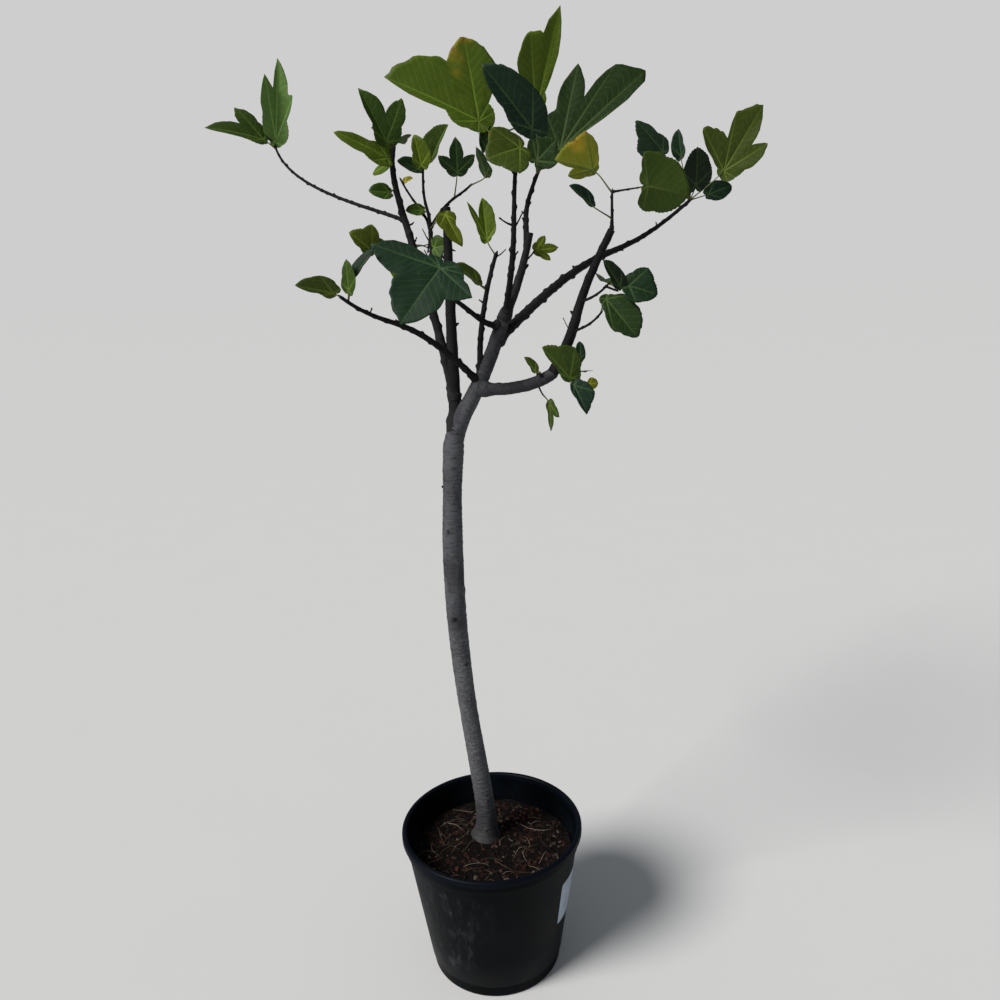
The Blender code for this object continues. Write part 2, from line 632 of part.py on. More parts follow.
def rearLeaves(name, rear, curve, lines, placed):
    """Leaves grown from the rear twig by a seeded rule, skipping each that leaves its space or touches anything."""
    rng = random.Random(name)
    middle = curve[3]
    size = Vector(rear["size"]) * cm
    grown = []
    for attempt in range(rearTries):
        heading = rng.uniform(10, 170)
        rise = rng.uniform(-10, 60)
        form = rng.choice(rearForms)
        stalk = direction(heading, rise) * rng.uniform(*rearStalks)
        blade = direction(heading + rng.uniform(-30, 30), rise - rng.uniform(0, 30)) * rng.uniform(*rearLengths)
        faces = (heading + rng.uniform(-40, 40), rise + rng.uniform(60, 90))
        leaf = ("rear", rng.uniform(.6, 1), form, form, stalk, blade, faces, rng.uniform(5, 30),
                rng.uniform(10, 30), 1)
        points, onStalk = samples(curvePoint(curve, min(leaf[1], lastSpring)), leaf)
        offsets = [point - middle for point in points]
        inside = all((off.x / size.x)**2 + (off.y / size.y)**2 + (off.z / size.z)**2 < 1 for off in offsets)
        if inside and clear(points + onStalk, lines, placed):
            grown.append(leaf)
            placed += points
        if len(grown) == rear["count"]:
            break
    return grown


def massTwigs(name):
    """The curve of each twig of a mass, the share of it that the mass has, and its radii."""
    mass = masses[name]
    stem = mass["stem"]
    curve, first = stemCurve(stem)
    radii = stem.get("radii") or limbs[stem["past"]]["radii"]
    twigs = {"stem": (curve, first, radii)}
    for twigName, twig in mass.get("twigs", {}).items():
        start = curvePoint(curve, first + (1 - first) * twig["on"][1])
        route = makeCurve(start, twig["reach"], twig["leave"], twig["arrive"], twig["pull"])
        twigs[twigName] = (route, 0.0, twig["radii"])
    if "rear" in mass:
        start = curvePoint(curve, first + (1 - first) * rearSpring)
        step = Vector(mass["rear"]["reach"]) * cm
        route = (start, start + step * .3 + Vector((0, .25 * step.length, 0)), start + step * .8, start + step)
        twigs["rear"] = (route, 0.0, rearTwigRadii)
    return twigs


def onTwig(twigs, leaf):
    curve, first, radii = twigs[leaf[0]]
    return curvePoint(curve, first + (1 - first) * min(leaf[1], lastSpring))


def buildMass(name, leaves, tools):
    collection = bpy.data.collections.new(name)
    bpy.context.scene.collection.children.link(collection)
    twigs = massTwigs(name)
    stem = masses[name]["stem"]
    made = meshObject(name, *twigTube(*twigs["stem"]), "leaf")
    if "on" in stem:
        for carrier in carriers(stem["on"]):
            if carrier not in tools:
                tools[carrier] = cutter(carrier)
            cut(made, tools[carrier])
        applyModifiers(made)
    for twigName in list(twigs)[1:]:
        moveTo(collection, meshObject(f"{name}_{twigName}", *twigTube(*twigs[twigName]), "leaf", name))
    for number, leaf in enumerate(leaves):
        addLeaf(collection, name, number, onTwig(twigs, leaf), leaf)
    join = made.modifiers.new("one mass", "BOOLEAN")
    join.operation = "UNION"
    join.operand_type = "COLLECTION"
    join.collection = collection
    applyModifiers(made)
    for piece in list(collection.objects):
        bpy.data.objects.remove(piece, do_unlink=True)
    bpy.data.collections.remove(collection)
    shadeRound(made)


def growRears():
    """All leaves by mass: those set by hand, then those that the seeded rule finds room for behind them."""
    lines = limbLines()
    grown = {}
    placed = []
    for name, mass in masses.items():
        grown[name] = list(mass["leaves"])
        twigs = massTwigs(name)
        for leaf in mass["leaves"]:
            placed += samples(onTwig(twigs, leaf), leaf)[0]
    for name, mass in masses.items():
        if "rear" in mass:
            grown[name] += rearLeaves(name, mass["rear"], massTwigs(name)["rear"][0], lines, placed)
    return grown


def twigTube(curve, first, radii):
    shares = [first + (1 - first) * number / (twigRings - 1) for number in range(twigRings)]
    sizes = [(radii[0] + (radii[1] - radii[0]) * share) * mm for share in shares]
    return tube([curvePoint(curve, share) for share in shares], sizes, twigSides)


def turned(name, profile, kind):
    """A closed solid turned round Z from (radius, height) points, the first and last of them on the axis."""
    points = []
    faces = []
    rings = []
    for radius, height in profile:
        if radius == 0:
            rings.append([len(points)])
            points.append(Vector((0, 0, height)))
            continue
        rings.append(list(range(len(points), len(points) + potSides)))
        for step in range(potSides):
            angle = 2 * math.pi * step / potSides
            points.append(Vector((radius * math.cos(angle), radius * math.sin(angle), height)))
    for low, high in zip(rings, rings[1:]):
        for step in range(potSides):
            after = (step + 1) % potSides
            corners = [low[step % len(low)], low[after % len(low)], high[after % len(high)], high[step % len(high)]]
            faces.append(tuple(dict.fromkeys(corners)))
    return meshObject(name, points, faces, kind)


def innerRadius(height):
    share = (height - floorThickness) / (potHeight - floorThickness)
    return innerFootRadius + (innerTopRadius - innerFootRadius) * share


def outerRadius(height):
    share = (height - footHeight) / (collarHeight - footHeight)
    return wallFootRadius + (wallTopRadius - wallFootRadius) * share


def buildPot():
    bead = (rimRadius - innerTopRadius) / 2
    middle = rimRadius - bead
    lip = []
    for step in range(5):
        angle = math.pi * step / 4
        lip.append((middle + bead * math.cos(angle), potHeight - bead + bead * math.sin(angle)))
    profile = [(0, 0), (baseRadius - 5 * mm, 0), (baseRadius, 5 * mm), (baseRadius + 1 * mm, footHeight - 3 * mm),
               (wallFootRadius, footHeight), (wallTopRadius, collarHeight - 2 * mm), (collarRadius, collarHeight),
               (collarRadius, lipHeight - 3 * mm), (rimRadius, lipHeight)]
    profile += lip
    profile += [(innerFootRadius, floorThickness), (0, floorThickness)]
    pot = turned("pot", profile, "pot")
    for number in range(drainCount):
        angle = 2 * math.pi * (number + .5) / drainCount
        drain = drill(number, drainRing * math.cos(angle), drainRing * math.sin(angle))
        cut(pot, drain)
    applyModifiers(pot)
    shadeRound(pot)


def drill(number, x, y):
    bm = bmesh.new()
    bmesh.ops.create_cone(bm, cap_ends=True, segments=12, radius1=drainRadius, radius2=drainRadius,
                          depth=4 * floorThickness)
    mesh = bpy.data.meshes.new(f"drain_{number}")
    bm.to_mesh(mesh)
    bm.free()
    made = bpy.data.objects.new(f"drain_{number}", mesh)
    made.location = (x, y, 0)
    made.hide_render = True
    made.display_type = "WIRE"
    bpy.context.scene.collection.objects.link(made)
    return made


def soilHeight(x, y):
    away = math.hypot(x - trunkFoot.x, y - trunkFoot.y)
    uneven = math.sin(70 * x + 1) * math.cos(55 * y) + .6 * math.sin(120 * y + 90 * x + 2)
    return soilLevel + soilRelief * uneven * min(1, max(0, away / levelReach - 1))


def buildSoil():
    base = floorThickness + gap
    profile = [(0, base), (innerRadius(base) - gap, base), (innerRadius(soilLevel) - 2 * gap, soilLevel)]
    for share in (.85, .65, .4, .2):
        profile.append((innerRadius(soilLevel) * share, soilLevel))
    profile.append((0, soilLevel))
    soil = turned("soil", profile, "soil")
    edge = innerRadius(soilLevel) * .9
    for vertex in soil.data.vertices:
        x, y, z = vertex.co
        if z > soilLevel / 2 and math.hypot(x, y) < edge:
            vertex.co.z = soilHeight(x, y)
    shadeRound(soil)


def buildLabel():
    """A thin curved plate on the wall's facets."""
    points = []
    faces = []
    first, last = labelHeadings
    steps = round((last - first) / (360 / potSides))
    for out in (gap, gap + labelThickness):
        for height in labelHeights:
            for step in range(steps + 1):
                angle = math.radians(first + (last - first) * step / steps)
                radius = outerRadius(height) + out
                points.append(Vector((radius * math.cos(angle), radius * math.sin(angle), height)))
    row = steps + 1
    for step in range(steps):
        faces.append((step, step + 1, row + step + 1, row + step)[::-1])
        faces.append((2 * row + step, 2 * row + step + 1, 3 * row + step + 1, 3 * row + step))
        faces.append((step, step + 1, 2 * row + step + 1, 2 * row + step))
        faces.append((row + step, row + step + 1, 3 * row + step + 1, 3 * row + step)[::-1])
    faces.append((0, row, 3 * row, 2 * row)[::-1])
    faces.append((steps, row + steps, 3 * row + steps, 2 * row + steps))
    label = meshObject("label", points, faces, "label")
    shadeRound(label)


clearScene()
buildPot()
buildSoil()
buildLabel()
cutters = buildLimbs()
for massName, massLeaves in growRears().items():
    buildMass(massName, massLeaves, cutters)
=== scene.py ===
import json
import math
import random

import bpy
from mathutils import Matrix, Vector, noise

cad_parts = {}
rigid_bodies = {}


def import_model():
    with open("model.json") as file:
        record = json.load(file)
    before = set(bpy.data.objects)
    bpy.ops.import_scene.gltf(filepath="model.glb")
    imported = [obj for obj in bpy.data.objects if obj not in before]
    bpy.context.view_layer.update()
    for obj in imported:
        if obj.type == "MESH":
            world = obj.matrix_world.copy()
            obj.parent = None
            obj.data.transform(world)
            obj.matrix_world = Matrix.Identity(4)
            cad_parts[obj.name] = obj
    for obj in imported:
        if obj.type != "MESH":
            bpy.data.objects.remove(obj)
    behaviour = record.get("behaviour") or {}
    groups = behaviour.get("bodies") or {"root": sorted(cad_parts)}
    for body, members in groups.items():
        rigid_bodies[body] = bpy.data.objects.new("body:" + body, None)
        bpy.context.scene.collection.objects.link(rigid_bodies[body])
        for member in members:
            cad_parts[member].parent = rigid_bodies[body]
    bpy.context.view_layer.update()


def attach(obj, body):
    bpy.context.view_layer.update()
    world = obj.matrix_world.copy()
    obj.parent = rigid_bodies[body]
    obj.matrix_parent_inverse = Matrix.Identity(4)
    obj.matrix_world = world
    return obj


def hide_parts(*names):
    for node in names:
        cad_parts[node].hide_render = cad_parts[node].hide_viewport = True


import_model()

cm = 0.01
mm = 0.001

# Camera, light and floor, with angles in degrees.
view = dict(place=(0, -1.65, 1.52), lens=30.6, sensor=36, pitch=15, roll=2.2, yaw=1.6, reach=200)
studio = dict(
    skyColour=(.86, .93, 1), skyPower=.24, backdrop=.618,
    sunHeading=212, sunRise=42, sunPower=4.0, sunAngle=24, sunColour=(1, .98, .95),
    floorColour=(.6, .6, .6), floorSide=120,
)


def addCamera():
    pitch, roll, yaw = (math.radians(view[name]) for name in ("pitch", "roll", "yaw"))
    ahead = Vector((math.sin(yaw) * math.cos(pitch), math.cos(yaw) * math.cos(pitch), -math.sin(pitch)))
    level = Vector((math.cos(yaw), -math.sin(yaw), 0))
    upright = level.cross(ahead)
    right = level * math.cos(roll) - upright * math.sin(roll)
    up = level * math.sin(roll) + upright * math.cos(roll)
    lens = bpy.data.cameras.new("camera")
    lens.lens = view["lens"]
    lens.sensor_width = view["sensor"]
    lens.clip_end = view["reach"]
    camera = bpy.data.objects.new("camera", lens)
    turned = Matrix((right, up, -ahead)).transposed().to_4x4()
    camera.matrix_world = Matrix.Translation(view["place"]) @ turned
    bpy.context.scene.collection.objects.link(camera)
    bpy.context.scene.camera = camera


def direction(heading, rise):
    turn = math.radians(heading)
    climb = math.radians(rise)
    return Vector((math.cos(climb) * math.cos(turn), math.cos(climb) * math.sin(turn), math.sin(climb)))


def addSun():
    light = bpy.data.lights.new("sun", "SUN")
    light.energy = studio["sunPower"]
    light.angle = math.radians(studio["sunAngle"])
    light.color = studio["sunColour"]
    sun = bpy.data.objects.new("sun", light)
    towards = direction(studio["sunHeading"], studio["sunRise"])
    sun.rotation_euler = towards.to_track_quat("Z", "Y").to_euler()
    bpy.context.scene.collection.objects.link(sun)


# One output socket, so that shader maths reads as plain sums.
class Wire:
    def __init__(self, tree, socket):
        self.tree = tree
        self.socket = socket

    def maths(self, operation, *terms):
        node = self.tree.nodes.new("ShaderNodeMath")
        node.operation = operation
        for inlet, term in zip(node.inputs, terms):
            plug(self.tree, inlet, term)
        return Wire(self.tree, node.outputs[0])

    def __add__(self, other):
        return self.maths("ADD", self, other)

    def __sub__(self, other):
        return self.maths("SUBTRACT", self, other)

    def __rsub__(self, other):
        return self.maths("SUBTRACT", other, self)

    def __mul__(self, other):
        return self.maths("MULTIPLY", self, other)

    def __truediv__(self, other):
        return self.maths("DIVIDE", self, other)

    def __pow__(self, other):
        return self.maths("POWER", self, other)

    __radd__ = __add__
    __rmul__ = __mul__


def plug(tree, inlet, value):
    if isinstance(value, Wire):
        tree.links.new(value.socket, inlet)
    elif isinstance(value, (tuple, list)) and len(inlet.default_value) == 4 and len(value) == 3:
        inlet.default_value = (*value, 1)
    else:
        inlet.default_value = value


# A material, and the one method that adds any node to it.
class Finish:
    def __init__(self, name, **constants):
        self.material = bpy.data.materials.new(name)
        self.material.use_nodes = True
        self.tree = self.material.node_tree
        self.surface = self.tree.nodes["Principled BSDF"]
        for inlet, value in constants.items():
            plug(self.tree, self.surface.inputs[inlet.replace("_", " ")], value)

    def node(self, kind, settings=None, inlets=None, outlet=0):
        made = self.tree.nodes.new("ShaderNode" + kind)
        for name, value in (settings or {}).items():
            if name == "stops":
                while len(made.color_ramp.elements) < len(value):
                    made.color_ramp.elements.new(1)
                for stop, (place, colour) in zip(made.color_ramp.elements, value):
                    stop.position = place
                    stop.color = (*colour, 1) if isinstance(colour, tuple) else (colour, colour, colour, 1)
            else:
                setattr(made, name, value)
        for name, value in (inlets or {}).items():
            plug(self.tree, made.inputs[name], value)
        return Wire(self.tree, made.outputs[outlet])

    def split(self, kind, inlet, value, *names):
        made = self.node(kind, None, {inlet: value}).socket.node
        return [Wire(self.tree, made.outputs[name]) for name in names]

    def attribute(self, name, outlet="Fac"):
        return self.node("Attribute", dict(attribute_name=name), outlet=outlet)

    def place(self):
        return self.node("TexCoord", outlet="Object")

    def stretch(self, vector, scale):
        return self.node("VectorMath", dict(operation="MULTIPLY"), {0: vector, 1: scale})

    def speckle(self, vector, scale, detail=3.0, rough=.55):
        return self.node("TexNoise", None, dict(Vector=vector, Scale=scale, Detail=detail, Roughness=rough))

    def step(self, value, low, high):
        return self.node("MapRange", dict(interpolation_type="SMOOTHSTEP"),
                         {0: value, 1: low, 2: high, 3: 0.0, 4: 1.0})

    def mix(self, share, colour0, colour1, blend="MIX"):
        inlets = {0: share, 6: colour0, 7: colour1}
        return self.node("Mix", dict(data_type="RGBA", blend_type=blend), inlets, 2)

    def tinted(self, colour, gain):
        return self.mix(1.0, colour, gain, "MULTIPLY")

    def ramp(self, value, *stops):
        return self.node("ValToRGB", dict(stops=stops), dict(Fac=value))

    def bump(self, height, strength, distance):
        return self.node("Bump", None, dict(Height=height, Strength=strength, Distance=distance))

    def feed(self, **inlets):
        for inlet, value in inlets.items():
            plug(self.tree, self.surface.inputs[inlet.replace("_", " ")], value)
        return self.material


barkLook = dict(
    young=(.0065, .0052, .0050), middle=(.030, .029, .031), old=(.078, .080, .088), middleAge=.45,
    fleck=(.014, .0135, .0145), lichen=(.17, .17, .17), pale=(.17, .17, .18), shade=(.44, .43, .46),
    foot=(.022, .020, .018), scar=(.008, .007, .0065), bud=(.022, .032, .006),
    cloudScale=28, streakScale=75, poreScale=330, paleScale=52,
    cloudAt=(.38, .66), streakAt=(.50, .64), poreAt=(.52, .60), paleAt=(.56, .68),
    cloudy=.8, streaky=.9, flecked=.72, spotted=.75, paled=.35, scarred=.9, lowDarkLeast=.55,
    roughness=.74, streakRough=.16, relief=.6, reliefDepth=1.6 * mm,
)


def barkFinish():
    made = Finish("fig bark", Specular_IOR_Level=.12)
    grain = made.attribute("grain", "Vector")
    age = made.attribute("age")
    layers = made.attribute("marks", "Color")
    marks, lowDark, fresh = made.split("SeparateColor", "Color", layers, "Red", "Green", "Blue")
    # the bark's age runs the ramp from young to old bark, and for some limbs it also carries painted light
    # and shade
    base = made.ramp(age, (.0, barkLook["young"]), (barkLook["middleAge"], barkLook["middle"]),
                     (1.0, barkLook["old"]))
    cloudy = made.speckle(made.stretch(grain, (1, 1, .5)), barkLook["cloudScale"], 4)
    streaks = made.speckle(made.stretch(grain, (1, 1, 4.5)), barkLook["streakScale"], 5, .65)
    pores = made.speckle(made.stretch(grain, (1, 1, 2.2)), barkLook["poreScale"], 2)
    base = made.mix(made.step(cloudy, *barkLook["cloudAt"]) * barkLook["cloudy"], base,
                    made.tinted(base, barkLook["shade"]))
    base = made.mix(made.step(streaks, *barkLook["streakAt"]) * barkLook["streaky"], base,
                    made.mix(barkLook["flecked"], base, barkLook["fleck"]))
    patches = made.speckle(made.stretch(grain, (1, 1, 2.0)), barkLook["paleScale"], 5, .7)
    pale = made.step(patches, *barkLook["paleAt"])
    base = made.mix(pale * barkLook["paled"] * age, base, made.mix(.5, base, barkLook["pale"]))
    spots = made.step(pores, *barkLook["poreAt"]) * made.attribute("lichen")
    base = made.mix(spots * barkLook["spotted"], base, barkLook["lichen"])
    least = barkLook["lowDarkLeast"]
    # the trunk darker, in patches, just above the soil
    base = made.mix(lowDark * (least + (1 - least) * cloudy), base, barkLook["foot"])
    base = made.mix(marks * barkLook["scarred"], base, barkLook["scar"])
    base = made.mix(fresh, base, barkLook["bud"])
    height = cloudy * .5 + streaks * .8 + pores * .35
    rough = barkLook["roughness"] + barkLook["streakRough"] * streaks
    relief = made.bump(height, barkLook["relief"], barkLook["reliefDepth"])
    return made.feed(Base_Color=base, Roughness=rough, Normal=relief)


leafLook = dict(
    veinGain=2.2, veinLift=(.028, .038, .008), underTint=(.042, .065, .008), underVein=(.075, .100, .022),
    yellow=(.32, .20, .010), gold=(.22, .17, .012), brown=(.12, .045, .008), spacing=14 * mm, bend=5 * mm,
    mainVein=1.7 * mm, sideVein=.5 * mm, slant=.85, netScale=330.0, cloudScale=34, fineScale=260,
    turningScale=17, burntScale=60, shade=(.62, .70, .70), glow=(1.5, 1.4, 1.3),
    cloudAt=(.3, .75), fineAt=(.45, .7), netAt=(.02, .16), turningAt=(1.0, 1.28), burntAt=(1.12, 1.25),
    cloudy=.5, glowing=.25, netOnTop=.14, sideOnTop=.46, mainOnTop=.9, netBelow=.22, sideBelow=.4,
    mainBelow=.85, turned=.85, burnt=.8,
    roughness=.46, relief=.55, reliefDepth=.9 * mm,
)


def leafFinish():
    made = Finish("fig leaf", Specular_IOR_Level=.12)
    # each leaf's green; a few leaves carry painted sunlight, and a few painted shade
    tint = made.attribute("tint", "Color")
    along, away, rim = made.split("SeparateXYZ", "Vector", made.attribute("vein", "Vector"), "X", "Y", "Z")
    under = made.attribute("under")
    autumn = made.attribute("autumn")
    place = made.place()
    cloudy = made.speckle(place, leafLook["cloudScale"], 3)
    fine = made.speckle(place, leafLook["fineScale"], 3)
    mainVein = 1 - made.step(away, leafLook["mainVein"] * .55, leafLook["mainVein"] * 1.35)
    mainVein = mainVein * (1 - rim * .75)
    slanted = along - away * leafLook["slant"] + cloudy * leafLook["bend"]
    rows = made.node("Math", dict(operation="PINGPONG"), {0: slanted, 1: leafLook["spacing"] / 2})
    sideVein = 1 - made.step(rows, leafLook["sideVein"] * .5, leafLook["sideVein"] * 2.0)
    sideVein = sideVein * (1 - rim * .45)
    cells = dict(Vector=place, Scale=leafLook["netScale"])
    net = made.node("TexVoronoi", dict(feature="DISTANCE_TO_EDGE"), cells)
    netVein = 1 - made.step(net, *leafLook["netAt"])
    body = made.mix(made.step(cloudy, *leafLook["cloudAt"]) * leafLook["cloudy"], tint,
                    made.tinted(tint, leafLook["shade"]))
    body = made.mix(made.step(fine, *leafLook["fineAt"]) * leafLook["glowing"], body,
                    made.tinted(body, leafLook["glow"]))
    lit = made.node("VectorMath", dict(operation="MULTIPLY"), {0: tint, 1: (leafLook["veinGain"],) * 3})
    lit = made.node("VectorMath", dict(operation="ADD"), {0: lit, 1: leafLook["veinLift"]})
    top = body
    for veins, share in ((netVein, "netOnTop"), (sideVein, "sideOnTop"), (mainVein, "mainOnTop")):
        top = made.mix(veins * leafLook[share], top, lit)
    below = made.mix(.25, body, leafLook["underTint"])
    finer = netVein * leafLook["netBelow"] + sideVein * leafLook["sideBelow"]
    below = made.mix(finer, below, made.mix(.5, lit, leafLook["underVein"]))
    below = made.mix(mainVein * leafLook["mainBelow"], below, leafLook["underVein"])
    colour = made.mix(under, top, below)
    wide = made.speckle(place, leafLook["turningScale"], 3)
    turning = made.step(wide + rim * .25 + autumn * .9, *leafLook["turningAt"])
    narrow = made.speckle(place, leafLook["burntScale"], 3)
    burnt = made.step(narrow + rim * .32 + autumn * .45, *leafLook["burntAt"])
    golden = made.mix(fine, leafLook["yellow"], leafLook["gold"])
    colour = made.mix(turning * leafLook["turned"], colour, golden)
    colour = made.mix(burnt * leafLook["burnt"], colour, leafLook["brown"])
    ribs = mainVein * 1.0 + sideVein * .55 + netVein * .16
    height = ribs * (under * 2 - 1) + fine * .15
    rough = leafLook["roughness"] + .12 * cloudy + .16 * under
    relief = made.bump(height, leafLook["relief"], leafLook["reliefDepth"])
    return made.feed(Base_Color=colour, Roughness=rough, Normal=relief)


stalkLook = dict(green=(.075, .095, .018), pale=(.10, .11, .028), red=(.045, .028, .010), roughness=.55,
                 patchScale=90)


def stalkFinish():
    made = Finish("leaf stalk", Specular_IOR_Level=.35)
    along = made.attribute("along")
    patch = made.speckle(made.place(), stalkLook["patchScale"], 3)
    colour = made.mix(made.step(patch, .35, .7) * .5, stalkLook["green"], stalkLook["pale"])
    colour = made.mix((1 - along) * .7, colour, stalkLook["red"])
    return made.feed(Base_Color=colour, Roughness=stalkLook["roughness"] + patch * .1,
                     Normal=made.bump(patch, .3, .4 * mm))


potLook = dict(
    black=(.0007, .0012, .0016), worn=(.0026, .0040, .0058), rim=(.0022, .0038, .0068),
    # the bluish-grey dust and streak colours are partly dust and partly painted sheen
    dust=(.046, .050, .055), streakAndSheenColour=(.024, .028, .033), low=(.004, .0035, .0032), grime=(.005, .006, .007),
    cloudScale=9, scuffScale=46, fineScale=420, runScale=60, grimeScale=150,
    rimAt=(.318, .326), footAt=(.02, .06), collarAt=(.27, .305), leftAt=(.035, .17), lowAt=(.0, .05),
    cloudAt=(.35, .7), scuffAt=(.47, .68), runAt=(.55, .72), grimeAt=(.6, .75),
    rimmed=.85, dustAndSheen=.85, streaky=.28, muddy=.45, grimy=.22,
    roughness=.42, relief=.28, reliefDepth=1.0 * mm,
)


def potFinish():
    made = Finish("black plastic pot", Specular_IOR_Level=.05)
    place = made.place()
    across, front, height = made.split("SeparateXYZ", "Vector", place, "X", "Y", "Z")
    cloudy = made.speckle(place, potLook["cloudScale"], 5, .6)
    scuffs = made.speckle(made.stretch(place, (1, 1, .35)), potLook["scuffScale"], 6, .72)
    fine = made.speckle(place, potLook["fineScale"], 2)
    runs = made.speckle(made.stretch(place, (1, 1, .16)), potLook["runScale"], 4, .6)
    base = made.mix(made.step(cloudy, *potLook["cloudAt"]), potLook["black"], potLook["worn"])
    rim = made.step(height, *potLook["rimAt"])
    base = made.mix(rim * potLook["rimmed"], base, potLook["rim"])
    # the left is the side the sun lights: the marks and runs laid on it are partly dust and partly painted
    # sheen
    leftSide = made.step(across * -1.0 - front * .25, *potLook["leftAt"])
    body = made.step(height, *potLook["footAt"]) * (1 - made.step(height, *potLook["collarAt"]))
    dustAndSheen = made.step(scuffs, *potLook["scuffAt"]) * leftSide * body * (.25 + made.step(cloudy, .4, .6))
    streaksAndSheen = made.step(runs, *potLook["runAt"]) * leftSide * body
    low = (1 - made.step(height, *potLook["lowAt"])) * made.step(scuffs, .5, .7)
    # dust with painted sheen, then streaks with painted sheen, on the lit left side
    base = made.mix(dustAndSheen * potLook["dustAndSheen"], base, potLook["dust"])
    base = made.mix(streaksAndSheen * potLook["streaky"], base, potLook["streakAndSheenColour"])
    base = made.mix(low * potLook["muddy"], base, potLook["low"])
    grime = made.step(made.speckle(place, potLook["grimeScale"], 5, .7), *potLook["grimeAt"])
    base = made.mix(grime * potLook["grimy"], base, potLook["grime"])
    rough = potLook["roughness"] + dustAndSheen * .35 + made.step(cloudy, .3, .8) * .14 + grime * .15
    relief = made.bump(scuffs * .5 + fine * .25, potLook["relief"], potLook["reliefDepth"])
    return made.feed(Base_Color=base, Roughness=rough, Normal=relief)


soilLook = dict(dark=(.0016, .0013, .0013), brown=(.0055, .0040, .0035), light=(.011, .0075, .006),
                red=(.036, .014, .009), pale=(.075, .056, .040), crumbScale=130, fineScale=520,
                grainScale=210.0, cellScale=120.0, relief=.9, reliefDepth=3.0 * mm)


def soilFinish():
    made = Finish("potting soil", Specular_IOR_Level=.08)
    place = made.place()
    crumbs = made.speckle(place, soilLook["crumbScale"], 6, .7)
    fine = made.speckle(place, soilLook["fineScale"], 4, .7)
    grains = made.node("TexVoronoi", None, dict(Vector=place, Scale=soilLook["grainScale"], Randomness=1.0))
    cells = made.node("TexVoronoi", None, dict(Vector=place, Scale=soilLook["cellScale"], Randomness=1.0),
                      "Color")
    colour = made.ramp(crumbs, (.3, soilLook["dark"]), (.55, soilLook["brown"]), (.85, soilLook["light"]))
    picked = made.node("SeparateColor", None, dict(Color=cells), "Red")
    colour = made.mix(made.step(picked, .84, .90) * .6, colour, soilLook["red"])
    colour = made.mix(made.step(fine, .66, .74) * .35, colour, soilLook["pale"])
    relief = made.bump(crumbs * 1.0 + grains * .8 + fine * .5, soilLook["relief"], soilLook["reliefDepth"])
    return made.feed(Base_Color=colour, Roughness=.9 + .08 * fine, Normal=relief)


chipLook = dict(shade=(.35, .33, .32), fibreScale=260, roughness=.82, relief=.7, reliefDepth=.8 * mm)


def chipFinish():
    made = Finish("bark chips", Specular_IOR_Level=.15)
    tint = made.attribute("tint", "Color")
    place = made.place()
    fibres = made.speckle(made.stretch(place, (1, 1, 2)), chipLook["fibreScale"], 4, .7)
    colour = made.mix(made.step(fibres, .35, .7) * .7, tint, made.tinted(tint, chipLook["shade"]))
    relief = made.bump(fibres, chipLook["relief"], chipLook["reliefDepth"])
    return made.feed(Base_Color=colour, Roughness=chipLook["roughness"] + .12 * fibres, Normal=relief)


labelLook = dict(paper=(.36, .42, .50), edge=(.20, .24, .29), roughness=.42, cloudScale=22, creaseScale=90,
                 lowEdge=(-.150, -.139), highEdge=(.240, .251))


def labelFinish():
    made = Finish("blank label", Specular_IOR_Level=.4)
    place = made.place()
    cloudy = made.speckle(place, labelLook["cloudScale"], 4)
    creases = made.speckle(made.stretch(place, (1, 1, .3)), labelLook["creaseScale"], 3)
    height = made.node("SeparateXYZ", None, dict(Vector=place), "Z")
    worn = made.step(height * -1.0, *labelLook["lowEdge"]) + made.step(height, *labelLook["highEdge"])
    colour = made.mix(made.step(cloudy, .4, .75) * .45, labelLook["paper"], labelLook["edge"])
    colour = made.mix(worn * .4, colour, labelLook["edge"])
    return made.feed(Base_Color=colour, Roughness=labelLook["roughness"] + .15 * cloudy,
                     Normal=made.bump(creases, .25, .6 * mm))


def floorFinish():
    made = Finish("studio floor", Specular_IOR_Level=.1)
    grain = made.speckle(made.place(), 3, 2)
    low = tuple(value * .985 for value in studio["floorColour"])
    return made.feed(Base_Color=made.mix(grain, studio["floorColour"], low), Roughness=.9 + .02 * grain)


def addSky():
    world = bpy.data.worlds.new("studio")
    bpy.context.scene.world = world
    world.use_nodes = True
    tree = world.node_tree
    light = tree.nodes["Background"]
    light.inputs["Color"].default_value = (*studio["skyColour"], 1)
    light.inputs["Strength"].default_value = studio["skyPower"]
    backdrop = tree.nodes.new("ShaderNodeBackground")
    backdrop.inputs["Color"].default_value = (studio["backdrop"],) * 3 + (1,)
    path = tree.nodes.new("ShaderNodeLightPath")
    mix = tree.nodes.new("ShaderNodeMixShader")
    tree.links.new(path.outputs["Is Camera Ray"], mix.inputs[0])
    tree.links.new(light.outputs[0], mix.inputs[1])
    tree.links.new(backdrop.outputs[0], mix.inputs[2])
    tree.links.new(mix.outputs[0], tree.nodes["World Output"].inputs["Surface"])
    bpy.context.scene.view_settings.view_transform = "Standard"


# How a layer of one, three or four numbers for each point is stored.
layerKinds = {1: ("FLOAT", "value"), 3: ("FLOAT_VECTOR", "vector"), 4: ("FLOAT_COLOR", "color")}


def meshPiece(name, points, faces, material, slot, nodes, smooth=True, **layers):
    mesh = bpy.data.meshes.new(name)
    mesh.from_pydata(points, [], faces)
    for layer, values in layers.items():
        width = 1 if isinstance(values[0], float) else len(values[0])
        kind, field = layerKinds[width]
        flat = values if width == 1 else [number for value in values for number in value]
        mesh.attributes.new(layer, kind, "POINT").data.foreach_set(field, flat)
    mesh.materials.append(material)
    if smooth:
        mesh.shade_smooth()
    made = bpy.data.objects.new(name, mesh)
    bpy.context.scene.collection.objects.link(made)
    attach(made, "root")
    if nodes:
        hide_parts(*nodes)
    return made


